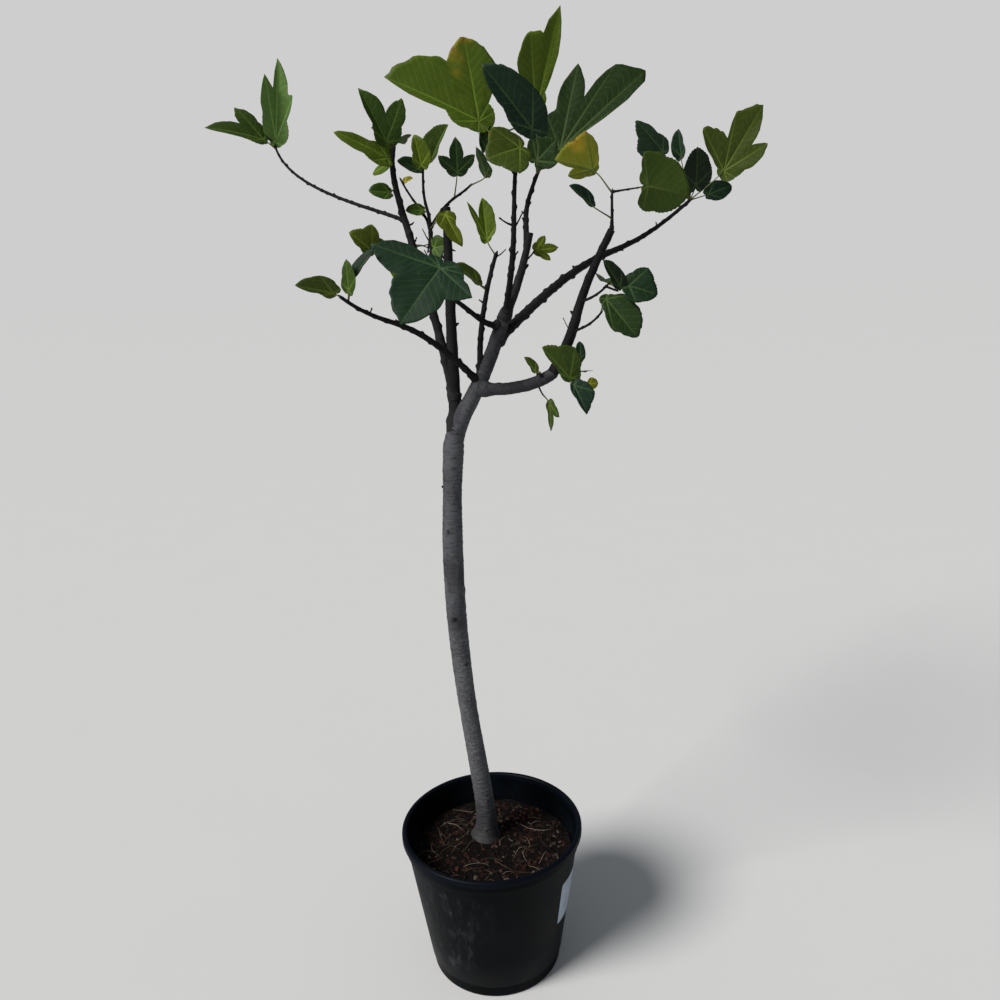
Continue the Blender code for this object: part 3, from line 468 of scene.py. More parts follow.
# Faces between rings of points that follow each other, and the two ends if they are closed.
def ringFaces(first, rings, sides, closed=True):
    faces = []
    for ring in range(rings - 1):
        low = first + ring * sides
        for step in range(sides):
            after = (step + 1) % sides
            faces.append((low + step, low + after, low + sides + after, low + sides + step))
    if not closed:
        return [(a, d, c, b) for a, b, c, d in faces]
    last = first + (rings - 1) * sides
    return faces + [tuple(range(first + sides - 1, first - 1, -1)), tuple(range(last, last + sides))]


def onCircle(radius, step, sides, height):
    angle = 2 * math.pi * step / sides
    return Vector((radius * math.cos(angle), radius * math.sin(angle), height))


def curvePoint(curve, share):
    a, b, c, d = curve
    rest = 1 - share
    return a * rest**3 + b * (3 * share * rest**2) + c * (3 * share**2 * rest) + d * share**3


def makeCurve(start, reach, leave, arrive, pull):
    step = Vector(reach) * cm
    end = start + step
    return (start, start + direction(*leave) * (step.length * pull[0]),
            end - direction(*arrive) * (step.length * pull[1]), end)


# Each limb is one curve: where it springs, its reach in cm, the headings and rises it leaves and arrives
# at, how hard these pull, and its radii in mm. Past the share called bare, it is the stem of its leaves.
limbs = {
    "trunk": dict(on=None, reach=(-2.7, -4.5, 92.5), leave=(-10, 83), arrive=(-28, 84), pull=(.15, .55),
                  radii=(21, 19.5)),
    "leader": dict(on=("trunk", 1), reach=(10.6, 1, 23.5), leave=(-12, 78), arrive=(5, 70), pull=(.3, .7),
                   radii=(19, 12.5)),
    "left_upright": dict(on=("leader", .12), reach=(.2, 6.1, 42.3), leave=(90, 70), arrive=(80, 84),
                         pull=(.15, .35), radii=(13.5, 7.5)),
    "left_outer_bough": dict(on=("left_upright", .22), reach=(-9.4, 7.6, 47.3), leave=(125, 74),
                             arrive=(5, 74), pull=(.58, .15), radii=(9, 4.5), bare=.63),
    "left_inner_bough": dict(on=("left_outer_bough", .26), reach=(.5, 4.8, 14.5), leave=(70, 66),
                             arrive=(105, 80), pull=(.35, .35), radii=(6, 4), bare=.75),
    "far_left_shoot": dict(on=("left_outer_bough", .57), reach=(-27.6, 20.7, 17.2), leave=(146, 26),
                           arrive=(175, 78), pull=(.15, .25), radii=(4, 2.2), bare=.71),
    "left_long_bough": dict(on=("leader", .68), reach=(-23.2, -14, 17.3), leave=(-146, 44),
                            arrive=(-158, 38), pull=(.7, .35), radii=(6.5, 3), bare=.9),
    "front_shoot": dict(on=("leader", .71), reach=(3.7, .5, 22.9), leave=(150, 84), arrive=(55, 54),
                        pull=(.35, .2), radii=(6, 3.5), bare=.61),
    "centre_stub": dict(on=("leader", 1), reach=(5.7, 0, 15.8), leave=(0, 62), arrive=(0, 76),
                        pull=(.35, .4), radii=(9.5, 6)),
    "front_left_bough": dict(on=("leader", .98), reach=(-20.1, -9.5, 12.4), leave=(-150, 4),
                             arrive=(-170, 26), pull=(.25, .7), radii=(6, 3), bare=.9),
    "left_rod": dict(on=("centre_stub", .06), reach=(2.4, -6, 25.1), leave=(-72, 61), arrive=(-65, 80),
                     pull=(.6, .4), radii=(6, 3.5), bare=.88),
    "right_rod": dict(on=("centre_stub", .83), reach=(3, 6, 14.3), leave=(80, 62), arrive=(20, 64),
                      pull=(.45, .55), radii=(6, 3.5), bare=.83),
    "right_low_bough": dict(on=("leader", .64), reach=(13.9, -8.4, 3.1), leave=(-36, -6), arrive=(-15, 35),
                            pull=(.35, .25), radii=(11.5, 11)),
    "right_upright": dict(on=("right_low_bough", 1), reach=(10.7, -2, 24.8), leave=(-10, 60),
                          arrive=(-5, 62), pull=(.5, .7), radii=(10.5, 6.5)),
    "right_long_bough": dict(on=("leader", .91), reach=(44.6, 29.1, 26.8), leave=(40, 33), arrive=(20, 36),
                             pull=(.7, .45), radii=(9.5, 3.5), bare=.97),
}

# Half outlines of a blade: (angle from the midrib, radius), by turns a lobe's tip and the notch after it.
halves = {
    "broad": ((0, 1), (27, .78), (52, .86), (82, .5), (112, .34), (180, .1)),
    "full": ((0, 1), (27, .85), (60, .9), (90, .5), (112, .4), (180, .1)),
    "plain": ((0, 1), (30, .8), (52, .66), (95, .34), (135, .26), (180, .08)),
    "slim": ((0, 1), (25, .5), (45, .4), (80, .25), (110, .18), (180, .08)),
    "half": ((0, 1), (15, .4), (30, .3), (95, .15), (135, .12), (180, .08)),
    "three": ((0, 1), (26, .46), (48, .75), (75, .36), (110, .25), (180, .08)),
    "thumb": ((0, 1), (6, .62), (15, .78), (35, .4), (90, .1), (180, .06)),
    "hand": ((0, 1), (15, .6), (22, .6), (30, .3), (110, .1), (180, .06)),
    "maple": ((0, 1), (40, .5), (75, .65), (90, .4), (105, .35), (180, .1)),
    "palm": ((0, 1), (45, .6), (76, 1), (98, .45), (104, .25), (180, .1)),
    "horn": ((0, 1), (16, .55), (26, 1), (35, .45), (60, .2), (180, .06)),
    "flag": ((0, 1), (28, .55), (42, .4), (65, .15), (120, .08), (180, .06)),
    "heel": ((0, 1), (12, .35), (35, .3), (60, .2), (100, .15), (180, .12)),
    "wing": ((0, 1), (38, .62), (58, .78), (88, .55), (100, .2), (180, .15)),
    "sail": ((0, 1), (8, .7), (18, .7), (45, .3), (90, .1), (180, .06)),
    "mast": ((0, 1), (10, .35), (12, .2), (40, .08), (140, .05), (180, .06)),
    "mitten": ((0, 1), (5, .94), (14, .88), (22, .5), (35, .75), (52, .34), (68, .3), (180, .06)),
    "spear": ((0, 1), (4, .92), (7, .7), (10, .12), (60, .06), (180, .06)),
    "spoon": ((0, 1), (40, .85), (62, .95), (90, .45), (115, .2), (180, .1)),
    "torn": ((0, 1), (10, .5), (28, .65), (60, .25), (95, .15), (180, .1)),
    "round": ((0, 1), (58, .6), (85, .55), (112, .4), (130, .2), (180, .12)),
    "cup": ((0, 1), (70, .75), (112, .75), (128, .4), (150, .3), (180, .15)),
    "bird": ((0, 1), (8, .92), (21, .8), (27, .45), (60, .7), (75, .25), (95, .1), (180, .1)),
    "tail": ((0, 1), (18, .5), (30, .7), (60, .3), (90, .2), (180, .1)),
    "spade": ((0, 1), (40, .6), (60, .45), (75, .2), (110, .1), (180, .1)),
    "shield": ((0, 1), (18, .75), (28, .7), (45, .3), (75, .15), (180, .1)),
}

# Each mass of foliage: its stem, its further twigs, and its leaves. A leaf has the twig and the share of it
# where its stalk springs, the left and the right half of its outline, the stalk and the blade as steps
# in cm, the heading and rise that its upper side faces, its fold and droop in degrees, and its width.
masses = {
    "far_left_leaves": dict(
        stem=dict(past="far_left_shoot"),
        leaves=(
            ("stem", 1, "thumb", "hand", (.2, 0, 1), (2, 0, 16), (-70, 5), 25, 10, .9),
            ("stem", .92, "half", "three", (-2.5, -.5, 2), (-10.5, -4, 2), (-80, 35), 10, 15, .9),
            ("stem", .98, "plain", "plain", (-.5, -.5, 1.5), (-1.5, -1, 1.5), (-90, 45), 15, 10, 1),
        )),
    "left_outer_leaves": dict(
        stem=dict(past="left_outer_bough"),
        leaves=(
            ("stem", 1, "half", "three", (-1.2, -.5, 1.6), (-4.3, -2, 9), (-75, 25), 20, 15, 1.1),
            ("stem", .93, "slim", "half", (-1, -1, -1), (-9.5, -3, 4.5), (-80, 35), 15, 15, 1.1),
            ("stem", .9, "plain", "slim", (-.8, 1, -1.5), (-3.5, 2, -1.5), (-90, 35), 10, 10, .8),
            ("stem", .3, "plain", "plain", (-1.2, -1.3, -1), (-3.6, -2, .3), (-90, 25), 10, 10, .8),
        ),
        rear=dict(reach=(-2, 6, 4), size=(6, 9, 7), count=2)),
    "left_inner_leaves": dict(
        stem=dict(past="left_inner_bough"),
        twigs={
            "middle": dict(on=("stem", .97), reach=(-.7, 1, 11.7), leave=(-80, 84), arrive=(-25, 84),
                           pull=(.4, .7), radii=(3.5, 2.2)),
            "left": dict(on=("stem", .96), reach=(-5.4, 4, 9.6), leave=(130, 70), arrive=(140, 58),
                         pull=(.3, .5), radii=(3, 1.8)),
            "right": dict(on=("stem", .96), reach=(8.3, 5.5, 8.2), leave=(36, 52), arrive=(30, 38),
                          pull=(.6, .35), radii=(3.2, 2.2)),
        },
        leaves=(
            ("middle", 1, "slim", "plain", (-.3, -1, .5), (-1, -1, 5.3), (-100, 20), 20, 10, .9),
            ("middle", .97, "plain", "half", (1.6, 1.5, 2), (3.6, 2.5, 6.6), (-110, 15), 25, 15, .7),
            ("middle", .95, "plain", "plain", (-.8, 0, .5), (-4, -1, 1.5), (-90, 45), 10, 10, .9),
            ("left", 1, "plain", "half", (.5, 0, -.3), (1.8, 0, .8), (-90, 40), 15, 0, .9),
            ("middle", .42, "plain", "plain", (-.8, -.5, -.5), (-3.2, -1, 0), (-90, 30), 10, 0, .8),
            ("right", .58, "three", "three", (.8, -3, 4.5), (0, -2, 6), (-90, 15), 5, 10, 1),
            ("right", 1, "slim", "slim", (3.5, 0, 2), (-1.8, -2, 5), (45, 15), 10, 0, 1),
            ("stem", .95, "half", "slim", (3.2, -8, 2), (3, -2, -6), (-65, 15), 10, 5, 1.3),
            ("stem", .6, "plain", "broad", (.6, -2, -2.3), (2.6, -1, .4), (-90, 15), 10, 5, 1.5),
        ),
        rear=dict(reach=(-1, 7, -4), size=(6, 9, 7), count=2)),
    "front_leaves": dict(
        stem=dict(past="front_shoot"),
        leaves=(
            ("stem", .12, "maple", "palm", (-8.4, -12, 4), (-7, -5, -9), (-95, 20), 5, 10, 1),
            ("stem", .08, "half", "plain", (-1.8, -1, 1.5), (-4, -1.5, 3.6), (-70, 30), 15, 10, .6),
            ("stem", 1, "horn", "flag", (-1.6, 0, 2.9), (-.5, 1, 7.5), (-80, 10), 20, 5, 1),
        )),
    "left_tip_leaves": dict(
        stem=dict(past="left_long_bough"),
        leaves=(
            ("stem", .95, "half", "plain", (-1.5, -.5, 1), (-6, -1.5, 1.5), (-90, -20), 5, 5, .8),
            ("stem", .6, "slim", "plain", (.3, -.5, 2), (0, 0, 5.2), (-120, 10), 15, 5, .8),
            ("stem", .6, "plain", "half", (1.3, 0, 4.3), (4, 0, 4.5), (-120, 25), 10, 5, .5),
        )),
    "front_left_leaves": dict(
        stem=dict(past="front_left_bough"),
        leaves=(
            ("stem", 1, "slim", "broad", (-2.5, -.5, 2), (-3.5, -2, 3.2), (-90, 25), 10, 10, 1),
            ("stem", 1, "plain", "plain", (-.4, 1, 2.4), (-1.3, -.5, 1.8), (-90, 25), 10, 10, .7),
            ("stem", .9, "half", "plain", (.8, 1.5, .3), (2.1, -1, -4.8), (-80, 25), 10, 5, .6),
        )),
    "top_left_leaves": dict(
        stem=dict(past="left_rod"),
        leaves=(
            ("stem", 1, "heel", "wing", (-6, 5, 9.4), (-16.2, -2, 7.2), (-85, 25), 15, 10, 1),
            ("stem", .95, "plain", "plain", (-4.9, 7, 5.2), (.5, .5, 5), (-80, 10), 10, 10, .5),
            ("stem", 1, "full", "full", (.9, 0, 4), (-6, -2.5, -2), (-90, 25), 5, 15, .95),
        ),
        rear=dict(reach=(-6, 12, 10), size=(9, 12, 8), count=3)),
    "top_right_leaves": dict(
        stem=dict(past="right_rod"),
        leaves=(
            ("stem", .97, "slim", "plain", (-2, -15, 5.6), (-8.2, -2.5, 9.7), (-105, 15), 15, 15, .65),
            ("stem", 1, "sail", "mast", (0, 1, 11), (5.2, 2, 18.2), (-75, 5), 15, 0, 1.2),
            ("stem", 1, "mitten", "spear", (4.2, -1, 4), (17, 4, 13.8), (-95, 20), 5, 5, 1),
            ("stem", .9, "full", "broad", (-.2, -3, 2.2), (3.5, -2, 3.3), (-85, 15), 5, 10, .9),
        ),
        rear=dict(reach=(5, 10, 10), size=(9, 12, 9), count=3)),
    "right_upper_leaves": dict(
        stem=dict(on=("right_upright", 1), reach=(-.1, -1.5, 6.2), leave=(-70, 78), arrive=(-60, 84),
                  pull=(.35, .35), radii=(3, 2)),
        twigs={
            "side": dict(on=("stem", 1), reach=(3.6, -3.5, .2), leave=(-45, 2), arrive=(-45, 2),
                         pull=(.35, .35), radii=(2, 1.3)),
        },
        leaves=(
            ("stem", .3, "half", "plain", (-4, -2, 2.3), (-3.8, -2, 3), (-75, 25), 15, 5, .6),
            ("stem", 1, "spoon", "torn", (-3.2, .5, 3.8), (-6.5, 0, 1.8), (75, 20), 5, 5, 1),
            ("side", 1, "round", "cup", (2, 0, .2), (7.3, 1.5, -1.6), (90, 10), 5, 5, .95),
        )),
    "right_tip_leaves": dict(
        stem=dict(past="right_long_bough"),
        leaves=(
            ("stem", .9, "broad", "slim", (-6.4, -2, 10), (-6.2, -2, 6), (-100, 15), 20, 15, .8),
            ("stem", .95, "plain", "slim", (-2.3, -1, 9), (-.4, 1, 5.6), (-110, 10), 15, 5, .65),
            ("stem", 1, "bird", "tail", (7.3, 0, 5.8), (7.4, -2, 12.5), (-90, 15), 10, 5, 1),
            ("stem", 1, "plain", "plain", (.5, -3, 2.8), (-.5, -2.5, 7.3), (-90, 25), 10, 10, .8),
            ("stem", 1, "plain", "plain", (4.4, 1, 1.2), (5.6, 2, 1.8), (-85, 20), 10, 5, .7),
        ),
        rear=dict(reach=(3, 7, 5), size=(8, 9, 7), count=3)),
    "right_middle_leaves": dict(
        stem=dict(on=("right_upright", .63), reach=(4.2, -5.7, 3.1), leave=(-58, 10), arrive=(-50, 40),
                  pull=(.35, .35), radii=(2.6, 1.8)),
        leaves=(
            ("stem", 1, "slim", "plain", (1.8, -1, -.5), (-3, -1, 4.5), (-100, 25), 15, 10, .6),
            ("stem", 1, "full", "plain", (3.3, -1, -.4), (4.8, -1, -1.6), (-90, 25), 5, 5, 1),
        ),
        rear=dict(reach=(3, 6, -1), size=(6, 8, 6), count=2)),
    "right_lower_leaves": dict(
        stem=dict(on=("right_upright", .31), reach=(4.4, -6.2, 3.5), leave=(-58, 12), arrive=(-50, 45),
                  pull=(.35, .35), radii=(2.6, 1.8)),
        leaves=(
            ("stem", 1, "spade", "shield", (.8, -.5, 2.4), (5.1, -2.5, -6.7), (-85, 20), 10, 10, 1),
        )),
    "elbow_leaves": dict(
        stem=dict(on=("right_upright", .02), reach=(2.4, -3.5, -1), leave=(-50, -10), arrive=(-50, 5),
                  pull=(.35, .35), radii=(3, 2)),
        leaves=(
            ("stem", .95, "half", "full", (-.1, -1.5, 0), (-5, -1.5, 5.8), (-85, 15), 10, 15, .7),
            ("stem", 1, "full", "slim", (.6, -1.5, -1.3), (2, -2, -5), (-75, 20), 15, 10, .65),
            ("stem", 1, "plain", "plain", (3.5, -.5, -1.3), (1.8, 1, 0), (-80, 10), 0, 0, 1),
            ("stem", 1, "plain", "plain", (1.9, -.5, 3.2), (.2, 1.5, 3), (-70, 15), 10, 5, .6),
        ),
        rear=dict(reach=(2, 6, 0), size=(6, 8, 6), count=1)),
    "low_left_leaf": dict(
        stem=dict(on=("right_low_bough", .86), reach=(-.8, -1.6, 1.3), leave=(-110, 20), arrive=(-120, 60),
                  pull=(.35, .35), radii=(1.8, 1.4)),
        leaves=(
            ("stem", 1, "half", "plain", (-1, 0, .3), (-1.9, 0, 2.7), (-80, 15), 10, 5, .7),
        )),
    "hanging_leaf": dict(
        stem=dict(on=("right_low_bough", .75), reach=(1, -1, -2.2), leave=(-60, -50), arrive=(-30, -60),
                  pull=(.35, .35), radii=(1.8, 1.4)),
        leaves=(
            ("stem", 1, "three", "half", (1.2, -.4, -1.6), (.2, 0, -5.4), (-100, 10), 15, 5, .6),
        )),
    "stub_leaf": dict(
        stem=dict(on=("centre_stub", .72), reach=(2, .6, 1.7), leave=(15, 20), arrive=(30, 50),
                  pull=(.35, .35), radii=(1.8, 1.4)),
        leaves=(
            ("stem", 1, "three", "three", (.5, 1.4, .3), (4.4, 1.2, .3), (-90, 20), 10, 5, 1),
        )),
}


# The tree's rule, the same as its solids follow.
gap = 0.3 * mm
knuckle = 0.05
stalkSink = 0.12
stalkHook = 0.25
limbClearance = 5 * mm
leafClearance = 10 * mm
rearTwigRadii = (2.2, 1.6)
rearLengths = (4, 8.5)
rearStalks = (1, 2.5)
rearForms = ("broad", "full", "three")
rearTries = 150
rearSpring = 0.9
lastSpring = 0.98
notchRound = 0.55
lobePoint = 0.2
trunkFoot = Vector((-1.4, 4.5, 27.0)) * cm


def trunkRadius(height):
    flare = 14 * mm * math.exp(-height / (4.5 * cm))
    waist = 1.5 * mm * math.exp(-((height - 46 * cm) / (16 * cm)) ** 2)
    neck = 2 * mm * math.exp(-((height - 86 * cm) / (4 * cm)) ** 2)
    return 21 * mm + flare - waist - neck


def limbRadii(name, shares):
    low, high = (value * mm for value in limbs[name]["radii"])
    if name == "trunk":
        return [trunkRadius(share * limbs[name]["reach"][2] * cm) for share in shares]
    rng = random.Random(name)
    return [(low + (high - low) * share) * (1 + rng.uniform(-knuckle, knuckle)) for share in shares]


def limbCurve(name):
    limb = limbs[name]
    if limb["on"] is None:
        start = trunkFoot + Vector((0, 0, gap))
    else:
        start = curvePoint(limbCurve(limb["on"][0]), limb["on"][1])
    return makeCurve(start, limb["reach"], limb["leave"], limb["arrive"], limb["pull"])


def halfRadius(knots, angle, blunt=notchRound, point=lobePoint):
    for number in range(len(knots) - 1):
        angle0, radius0 = knots[number]
        angle1, radius1 = knots[number + 1]
        if angle <= angle1:
            break
    if number % 2 == 0:
        share = (angle1 - angle) / (angle1 - angle0)
        low, high = radius1, radius0
    else:
        share = (angle - angle0) / (angle1 - angle0)
        low, high = radius0, radius1
    swell = math.sin(math.pi / 2 * share) ** blunt
    return low + (high - low) * ((1 - point) * swell + point * share**3)


def outlineAngles(left, right, steps):
    angles = []
    for knots, sign in ((left, 1), (right, -1)):
        side = []
        for number in range(len(knots) - 1):
            angle0 = knots[number][0]
            angle1 = knots[number + 1][0]
            parts = steps or max(2, math.ceil((angle1 - angle0) / leafDetail["raySpacing"]))
            side += [sign * (angle0 + (angle1 - angle0) * step / parts) for step in range(parts)]
        if sign == 1:
            angles += side + [180]
        else:
            angles += reversed(side[1:])
    return angles


def bladePoint(x, y, fold, droop):
    up = abs(y) * math.sin(fold)
    y *= math.cos(fold)
    if droop < .01:
        return x, y, up
    bend = 1 / droop
    return (bend + up) * math.sin(x * droop), y, (bend + up) * math.cos(x * droop) - bend


def bladeFrame(blade, faces, droop):
    chord = Vector(blade) * cm
    length = chord.length
    along = chord.normalized()
    out = direction(*faces)
    out = (out - along * out.dot(along)).normalized()
    if droop >= .01:
        length *= (droop / 2) / math.sin(droop / 2)
        along, out = (along * math.cos(droop / 2) + out * math.sin(droop / 2),
                      out * math.cos(droop / 2) - along * math.sin(droop / 2))
    return length, along, out.cross(along), out


def bladeSheet(foot, leaf, steps, shares):
    left, right = halves[leaf[2]], halves[leaf[3]]
    fold, droop, width = math.radians(leaf[7]), math.radians(leaf[8]), leaf[9]
    length, along, side, out = bladeFrame(leaf[5], leaf[6], droop)
    points = [foot]
    for angle in outlineAngles(left, right, steps):
        radius = halfRadius(left if angle >= 0 else right, abs(angle))
        turn = math.radians(angle)
        for part in shares:
            x, y, z = bladePoint(part * radius * math.cos(turn), part * radius * math.sin(turn) * width,
                                 fold, droop)
            points.append(foot + (along * x + side * y + out * z) * length)
    return points, length


def stemCurve(stem):
    if "past" in stem:
        limb = limbs[stem["past"]]
        curve = limbCurve(stem["past"])
        length = (curvePoint(curve, limb["bare"] + .02) - curvePoint(curve, limb["bare"])).length
        return curve, limb["bare"] + .02 * gap / length
    start = curvePoint(limbCurve(stem["on"][0]), stem["on"][1])
    return makeCurve(start, stem["reach"], stem["leave"], stem["arrive"], stem["pull"]), 0.0


def bladeThickness(length):
    return max(1.8 * mm, length / 75)


def stalkCurve(spring, foot, leaf, length):
    along, out = bladeFrame(leaf[5], leaf[6], math.radians(leaf[8]))[1::2]
    run = (foot - spring).length
    inside = foot + along * (length * stalkSink) - out * (bladeThickness(length) / 2)
    return spring, spring.lerp(foot, .5), foot - along * (run * stalkHook), inside


def samples(spring, leaf):
    foot = spring + Vector(leaf[4]) * cm
    points, length = bladeSheet(foot, leaf, 2, (.3, .5, .75, 1))
    curve = stalkCurve(spring, foot, leaf, length)
    return points, [curvePoint(curve, share) for share in (.4, .6, .8)]


def limbLines():
    lines = []
    for name, limb in limbs.items():
        curve = limbCurve(name)
        bare = limb.get("bare", 1)
        shares = [bare * number / 40 for number in range(41)]
        radii = limbRadii(name, shares)
        lines += [(curvePoint(curve, share), radius) for share, radius in zip(shares, radii)]
    return lines


def clear(points, lines, others):
    for point in points:
        if any((point - line).length < radius + limbClearance for line, radius in lines):
            return False
        if any((point - other).length < leafClearance for other in others):
            return False
    return True


def rearLeaves(name, rear, curve, lines, placed):
    rng = random.Random(name)
    middle = curve[3]
    size = Vector(rear["size"]) * cm
    grown = []
    for attempt in range(rearTries):
        heading = rng.uniform(10, 170)
        rise = rng.uniform(-10, 60)
        form = rng.choice(rearForms)
        stalk = direction(heading, rise) * rng.uniform(*rearStalks)
        blade = direction(heading + rng.uniform(-30, 30), rise - rng.uniform(0, 30))
        blade *= rng.uniform(*rearLengths)
        faces = (heading + rng.uniform(-40, 40), rise + rng.uniform(60, 90))
        leaf = ("rear", rng.uniform(.6, 1), form, form, stalk, blade, faces, rng.uniform(5, 30),
                rng.uniform(10, 30), 1)
        points, onStalk = samples(curvePoint(curve, min(leaf[1], lastSpring)), leaf)
        offsets = [point - middle for point in points]
        inside = all((off.x / size.x)**2 + (off.y / size.y)**2 + (off.z / size.z)**2 < 1 for off in offsets)
        if inside and clear(points + onStalk, lines, placed):
            grown.append(leaf)
            placed += points
        if len(grown) == rear["count"]:
            break
    return grown


def massTwigs(name):
    mass = masses[name]
    stem = mass["stem"]
    curve, first = stemCurve(stem)
    radii = stem.get("radii") or limbs[stem["past"]]["radii"]
    twigs = {"stem": (curve, first, radii)}
    for twigName, twig in mass.get("twigs", {}).items():
        start = curvePoint(curve, first + (1 - first) * twig["on"][1])
        route = makeCurve(start, twig["reach"], twig["leave"], twig["arrive"], twig["pull"])
        twigs[twigName] = (route, 0.0, twig["radii"])
    if "rear" in mass:
        start = curvePoint(curve, first + (1 - first) * rearSpring)
        step = Vector(mass["rear"]["reach"]) * cm
        bulge = Vector((0, .25 * step.length, 0))
        route = (start, start + step * .3 + bulge, start + step * .8, start + step)
        twigs["rear"] = (route, 0.0, rearTwigRadii)
    return twigs


def onTwig(twigs, leaf):
    curve, first, radii = twigs[leaf[0]]
    return curvePoint(curve, first + (1 - first) * min(leaf[1], lastSpring))


def growRears():
    lines = limbLines()
    grown = {}
    placed = []
    for name, mass in masses.items():
        grown[name] = list(mass["leaves"])
        twigs = massTwigs(name)
        for leaf in mass["leaves"]:
            placed += samples(onTwig(twigs, leaf), leaf)[0]
    for name, mass in masses.items():
        if "rear" in mass:
            grown[name] += rearLeaves(name, mass["rear"], massTwigs(name)["rear"][0], lines, placed)
    return grown


barkDetail = dict(
    ringStep=2.0 * mm,      # between the rings of points along the wood
    lump=.045, lumpSize=2.6,        # slow unevenness, as a share of the radius and in radii
    wrinkle=.012, wrinkleStep=5 * mm,
    collar=.45,             # how far a branch swells where it springs
    nodeStep=(13, 24), nodeSwell=.28,        # the swellings where leaves grew on thin wood, mm apart
    speckled=(.36, .80),    # heights between which the trunk is speckled with pale lichen
    leastLichen=.12,
    lowDarkTop=.272, lowDarkFade=.055, lowDarkAmount=.8,     # the trunk darker just above the soil, fading upwards
    youngRadius=2, ageSpan=15,      # mm of radius: where bark starts to look old, and over how much
    golden=2.4,             # radians from one leaf scar to the next
    # painted light and shade: how much paler or darker than their thickness says the bark of some limbs is
    # made, paler where a limb caught the light and darker where it lay in shade
    tone=dict(left_upright=.2, right_upright=.15, left_rod=.2, right_rod=.2, front_shoot=.4, centre_stub=.6,
              left_outer_bough=.5, left_long_bough=.35, front_left_bough=.3, right_long_bough=.4,
              right_low_bough=1.15),
)

# Knots on the trunk: share of its length, angle round it from the left through the front, size in mm.
trunkKnots = (
    (.945, 3, 4), (.925, 40, 3.5), (.81, 68, 6), (.735, 38, 3.5), (.69, 12, 3), (.60, 84, 11),
    (.485, 122, 6.5), (.42, 60, 3), (.11, 115, 5), (.03, 92, 6), (.88, 250, 6), (.66, 205, 8),
    (.38, 290, 7), (.25, 215, 5), (.52, 330, 5), (.17, 20, 4), (.31, 150, 4),
)

# Short dead spurs: the limb, the share of it, heading, rise, length in cm and radius in mm.
spurs = (
    ("left_rod", .62, -165, 25, 2.6, 1.7), ("left_rod", .60, -20, 55, 2.6, 1.5),
    ("left_rod", .35, 10, 40, .9, 1.8), ("right_rod", .35, 170, 60, .8, 1.9),
    ("right_rod", .62, -10, 50, .9, 1.5), ("right_rod", .5, 120, 30, 1.2, 1.5),
    ("left_inner_bough", .55, -170, 60, 2.4, 1.4), ("left_inner_bough", .8, 165, 60, 2.9, 1.2),
    ("left_outer_bough", .55, -10, 20, 1.0, 1.6), ("left_outer_bough", .47, 60, 40, 1.5, 1.6),
    ("front_shoot", .98, 20, 30, 2.1, 1.2), ("front_shoot", .55, 170, 30, .8, 1.7),
    ("centre_stub", .62, 10, 35, .9, 2.6), ("centre_stub", .4, 170, 40, .8, 2.2),
    ("right_upright", .14, 165, 30, .7, 2.4), ("right_upright", .3, 160, 60, 2.2, .9),
    ("right_upright", .5, 170, 30, .5, 2.4), ("right_upright", .72, 60, 20, 1.0, 1.8),
    ("right_low_bough", .9, 175, -10, .6, 2.6), ("right_low_bough", .8, 120, 60, .7, 2.8),
    ("left_long_bough", .55, 100, 30, .9, 1.6), ("left_long_bough", .8, 60, 50, 1.0, 1.3),
    ("right_long_bough", .3, 120, 40, .7, 2.4), ("right_long_bough", .6, -60, -20, .8, 2.0),
    ("right_long_bough", .85, 90, 40, 1.2, 1.5), ("left_upright", .55, 10, 20, .6, 2.6),
    ("left_upright", .8, 180, 30, .7, 2.2), ("leader", .5, 178, 10, .5, 3.4),
    ("trunk", .94, 180, 10, .25, 2.6),
)
cutEnds = ("left_upright", "centre_stub", "right_upright")
tubeSides = dict(trunk=96, leader=64, stout=36, slim=28, twig=16, spur=14)
stout = 9 * mm


def routeOf(curve, first, last, step):
    fine = [curvePoint(curve, first + (last - first) * number / 240) for number in range(241)]
    lengths = [0.0]
    for here, after in zip(fine, fine[1:]):
        lengths.append(lengths[-1] + (after - here).length)
    count = max(6, round(lengths[-1] / step))
    route = []
    seek = 0
    for number in range(count + 1):
        goal = lengths[-1] * number / count
        while seek < 239 and lengths[seek + 1] < goal:
            seek += 1
        part = (goal - lengths[seek]) / max(1e-9, lengths[seek + 1] - lengths[seek])
        share = first + (last - first) * (seek + part) / 240
        route.append((goal, share, fine[seek].lerp(fine[seek + 1], min(1, part))))
    return route


# How a limb ends, ring by ring: rise and radius in radii, how scarred it is and how fresh.
def endRings(end):
    if end == "cut":
        sawn = ((.06, .97, .3), (.12, .90, .8), (.11, .72, 1), (.07, .45, 1), (.03, .2, .8))
        return [(*ring, 0.0) for ring in sawn]
    if end == "bud":
        return [(long, math.cos(math.pi / 2 * turn) ** .8 * 1.05, .2 * (1 - turn), min(1, turn * 1.4))
                for turn, long in ((.2, .5), (.42, 1.2), (.66, 2.0), (.86, 2.8))]
    quarters = [math.pi / 2 * turn for turn in (.25, .5, .75, .92)]
    return [(math.sin(turn), math.cos(turn), 0.0, 0.0) for turn in quarters]


